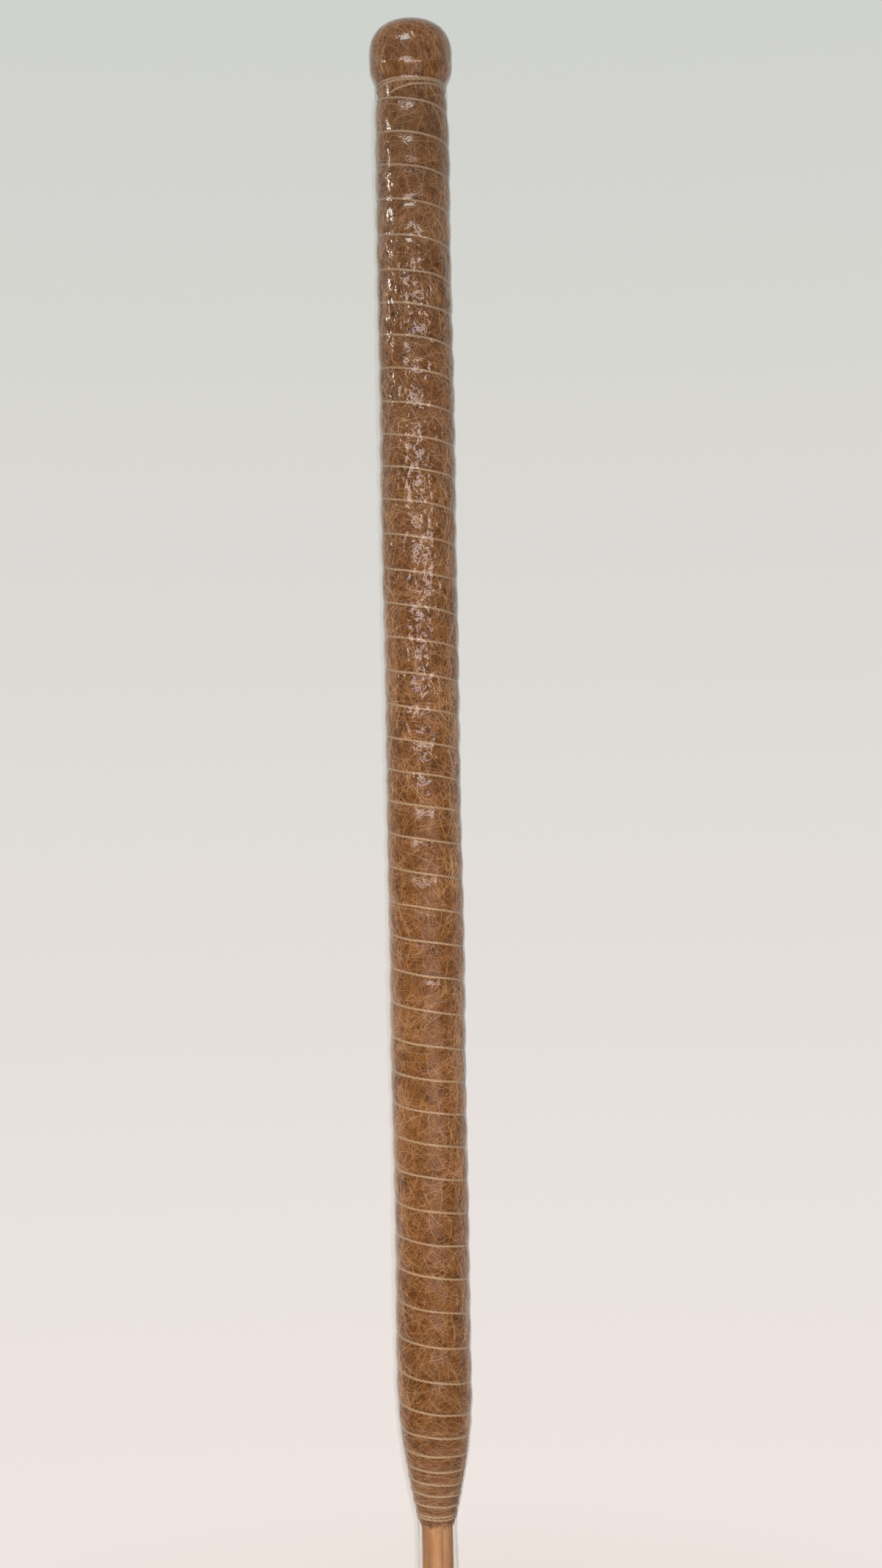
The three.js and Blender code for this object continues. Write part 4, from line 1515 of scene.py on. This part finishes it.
@dataclass
class Studio:
    """A pale floor that fades into a pale room, soft lamps and a camera at the photograph's angle."""

    form: PoleForm
    image_width: int = 1200
    image_height: int = 2133
    scale: float = 0.5
    focal_pixels: float = 3000.0
    crown_pixel: float = 30.0
    axis_pixel: float = 576.5
    lean: float = 1.05
    sensor: float = 36.0
    sight: float = 100.0
    floor_rings: tuple[float, ...] = (0.5, 2.0, 8.0, 30.0)
    floor_columns: int = 96
    floor_drop: float = 0.5
    floor_fade: Span = (0.22, 0.75)
    floor_grain: Place = (3.0, 3.0, 3.0)
    floor_colour: str = "EFE9E5"
    grain_colour: str = "ECE6E2"
    floor_glow: float = 0.38
    low_colour: str = "F0E6E2"
    far_colour: str = "E0DCD8"
    # Painted shade on the wall: its colour is darker and greyer high up than low down.
    shaded_high_colour: str = "D0D2CD"
    wall_rise: Span = (-0.33, 0.33)
    room_light: float = 0.32
    front_gloss: Span = (0.05, 0.36)
    front_rise: Span = (-0.1, 0.35)
    wall_gloss: float = 0.85
    wall_turn: Span = (-0.3, 0.3)
    lamps: tuple[Lamp, ...] = (
        Lamp("key", (-2.2, -0.35, 1.65), (0.0, 0.0, 0.85), (0.12, 0.12), 3.2, "FFFBF5"),
        Lamp("front", (0.0, -2.7, 1.12), (0.0, 0.0, 0.6), (3.1, 0.4), 20.5, "FFF1EE"),
        Lamp("high", (-0.55, -1.95, 2.55), (0.0, 0.0, 1.2), (1.4, 0.45), 15.5, "FFFDFA"),
        Lamp("low", (0.5, -2.0, 0.15), (0.0, 0.0, 0.45), (2.0, 0.7), 3.0, "FFF1EE"),
        Lamp("fill", (-0.15, -1.3, 0.48), (0.0, 0.0, 0.48), (0.45, 0.45), 1.9, "FFE5CC", 70.0),
        Lamp("back_left", (-1.1, 2.4, 0.8), (0.0, 0.0, 0.65), (0.8, 1.2), 3.8, "FFF6EE", 60.0),
        Lamp("back_right", (1.1, 2.4, 0.8), (0.0, 0.0, 0.65), (0.8, 1.2), 3.8, "FFF6EE", 60.0),
    )

    def camera(self) -> None:
        """Place a level camera whose picture has the pole at the photograph's scale and place."""
        data = bpy.data.cameras.new("camera")
        data.sensor_fit = "VERTICAL"
        data.sensor_height = self.sensor
        data.lens = self.sensor * self.focal_pixels / self.image_height
        data.clip_end = self.sight
        camera = bpy.data.objects.new("camera", data)
        aside = (self.image_width / 2.0 - self.axis_pixel) * self.scale
        level = self.form.crown + (self.crown_pixel - self.image_height / 2.0) * self.scale
        camera.location = (aside * MM, -self.focal_pixels * self.scale * MM, level * MM)
        camera.rotation_euler = (math.radians(90.0), math.radians(self.lean), 0.0)
        bpy.context.collection.objects.link(camera)
        bpy.context.scene.camera = camera

    def room(self) -> None:
        """Make the room: even light, which the camera sees as a pale wall and the film as a dimmer front. Its
        colour darkens and greys towards the top, which is painted shade on the wall that the camera sees.
        """
        world = bpy.data.worlds.new("pale room")
        bpy.context.scene.world = world
        nodes = Nodes(world)
        way = nodes.add("TexCoord", out="Generated")
        back, up = (nodes.add("SeparateXYZ", {0: way}, out=axis) for axis in "YZ")
        rays = ("Is Camera Ray", "Is Transmission Ray", "Is Glossy Ray")
        camera, through, glossy = (nodes.add("LightPath", out=ray) for ray in rays)
        rise = nodes.add("MapRange", {0: up, 1: self.wall_rise[0], 2: self.wall_rise[1]})
        # Painted shade: the room's colour grades from warm pale low down to darker grey at the top.
        stops = {0.0: self.low_colour, 0.5: self.far_colour, 1.0: self.shaded_high_colour}
        wall = nodes.add("ValToRGB", {"Fac": rise}, stops=stops)
        front = nodes.add("MapRange", dict(enumerate((up, *self.front_rise, *self.front_gloss))))
        ahead = nodes.add("MapRange", dict(enumerate((back, *self.wall_turn, front, self.wall_gloss))))
        seen = nodes.add("Math", {0: camera, 1: through}, operation="MAXIMUM")
        mirrored = nodes.add("Math", {0: glossy, 1: ahead}, operation="MULTIPLY")
        shown = nodes.add("Math", {0: seen, 1: mirrored}, operation="MAXIMUM")
        dim = {0: glossy, 1: -self.room_light, 2: self.room_light}
        plain = nodes.add("Math", dim, operation="MULTIPLY_ADD")
        strength = nodes.add("Math", {0: shown, 1: plain}, operation="MAXIMUM")
        nodes.cover(nodes.add("Background", {"Color": wall, "Strength": strength}), "OutputWorld")

    def board(self) -> Material:
        """Make the floor's finish: matt and pale, fading out for the camera, which sees the room there.

        Returns:
            The material.
        """
        nodes = Nodes(bpy.data.materials.new("matt painted board, pale"))
        place = nodes.add("TexCoord", out="Object")
        camera, glossy = (nodes.add("LightPath", out=ray) for ray in ("Is Camera Ray", "Is Glossy Ray"))
        away = nodes.add("VectorMath", {0: place}, out="Value", operation="LENGTH")
        low, high = self.floor_fade
        far = nodes.add("MapRange", {0: away, 1: low, 2: high}, interpolation_type="SMOOTHSTEP")
        grain = nodes.patches(self.floor_grain)
        stops = {0.3: self.grain_colour, 0.7: self.floor_colour}
        colour = nodes.add("ValToRGB", {"Fac": grain}, stops=stops)
        board = nodes.add("BsdfPrincipled", {
            "Base Color": colour,
            "Roughness": 0.9,
            "Emission Color": colour,
            "Emission Strength": nodes.add("Math", {0: camera, 1: self.floor_glow}, operation="MULTIPLY"),
        })
        seen = nodes.add("Math", {0: camera, 1: glossy}, operation="MAXIMUM")
        share = nodes.add("Math", {0: far, 1: seen}, operation="MULTIPLY")
        return nodes.cover(nodes.add("MixShader", {0: share, 1: board, 2: nodes.add("BsdfTransparent")}))

    def floor(self) -> None:
        """Lay a wide disc under the pole, which takes its shadow: rings of points round a middle one."""
        rings = np.array(self.floor_rings)[:, None] / MM
        points = on_pole(ring_angles(self.floor_columns), rings, -self.floor_drop).reshape(-1, 3)
        middle = fan_faces(np.arange(self.floor_columns), len(points))
        faces = grid_faces(len(rings), self.floor_columns)[:, ::-1].tolist() + middle.tolist()
        points = np.concatenate([points, [[0.0, 0.0, -self.floor_drop]]]) * MM
        mesh = bpy.data.meshes.new("floor")
        mesh.from_pydata(points.tolist(), [], faces)
        mesh.materials.append(self.board())
        floor = bpy.data.objects.new("floor", mesh)
        bpy.context.collection.objects.link(floor)

    def build(self) -> None:
        """Set up the camera, the room, the floor and the lamps."""
        bpy.context.scene.view_settings.view_transform = "Standard"
        self.camera()
        self.room()
        self.floor()
        for lamp in self.lamps:
            lamp.hang()


def main() -> None:
    """Build the pole and its studio."""
    logging.basicConfig(level=logging.INFO, format="%(name)s: %(message)s")
    form = PoleForm()
    Studio(form).build()
    for part in (BambooCane(), CoirMat(form), CoirCap(form), TwineBinding(form), ShrinkFilm(form)):
        part.build()
        LOG.info("%s is done", type(part).__name__)


if __name__ == "__main__":
    main()
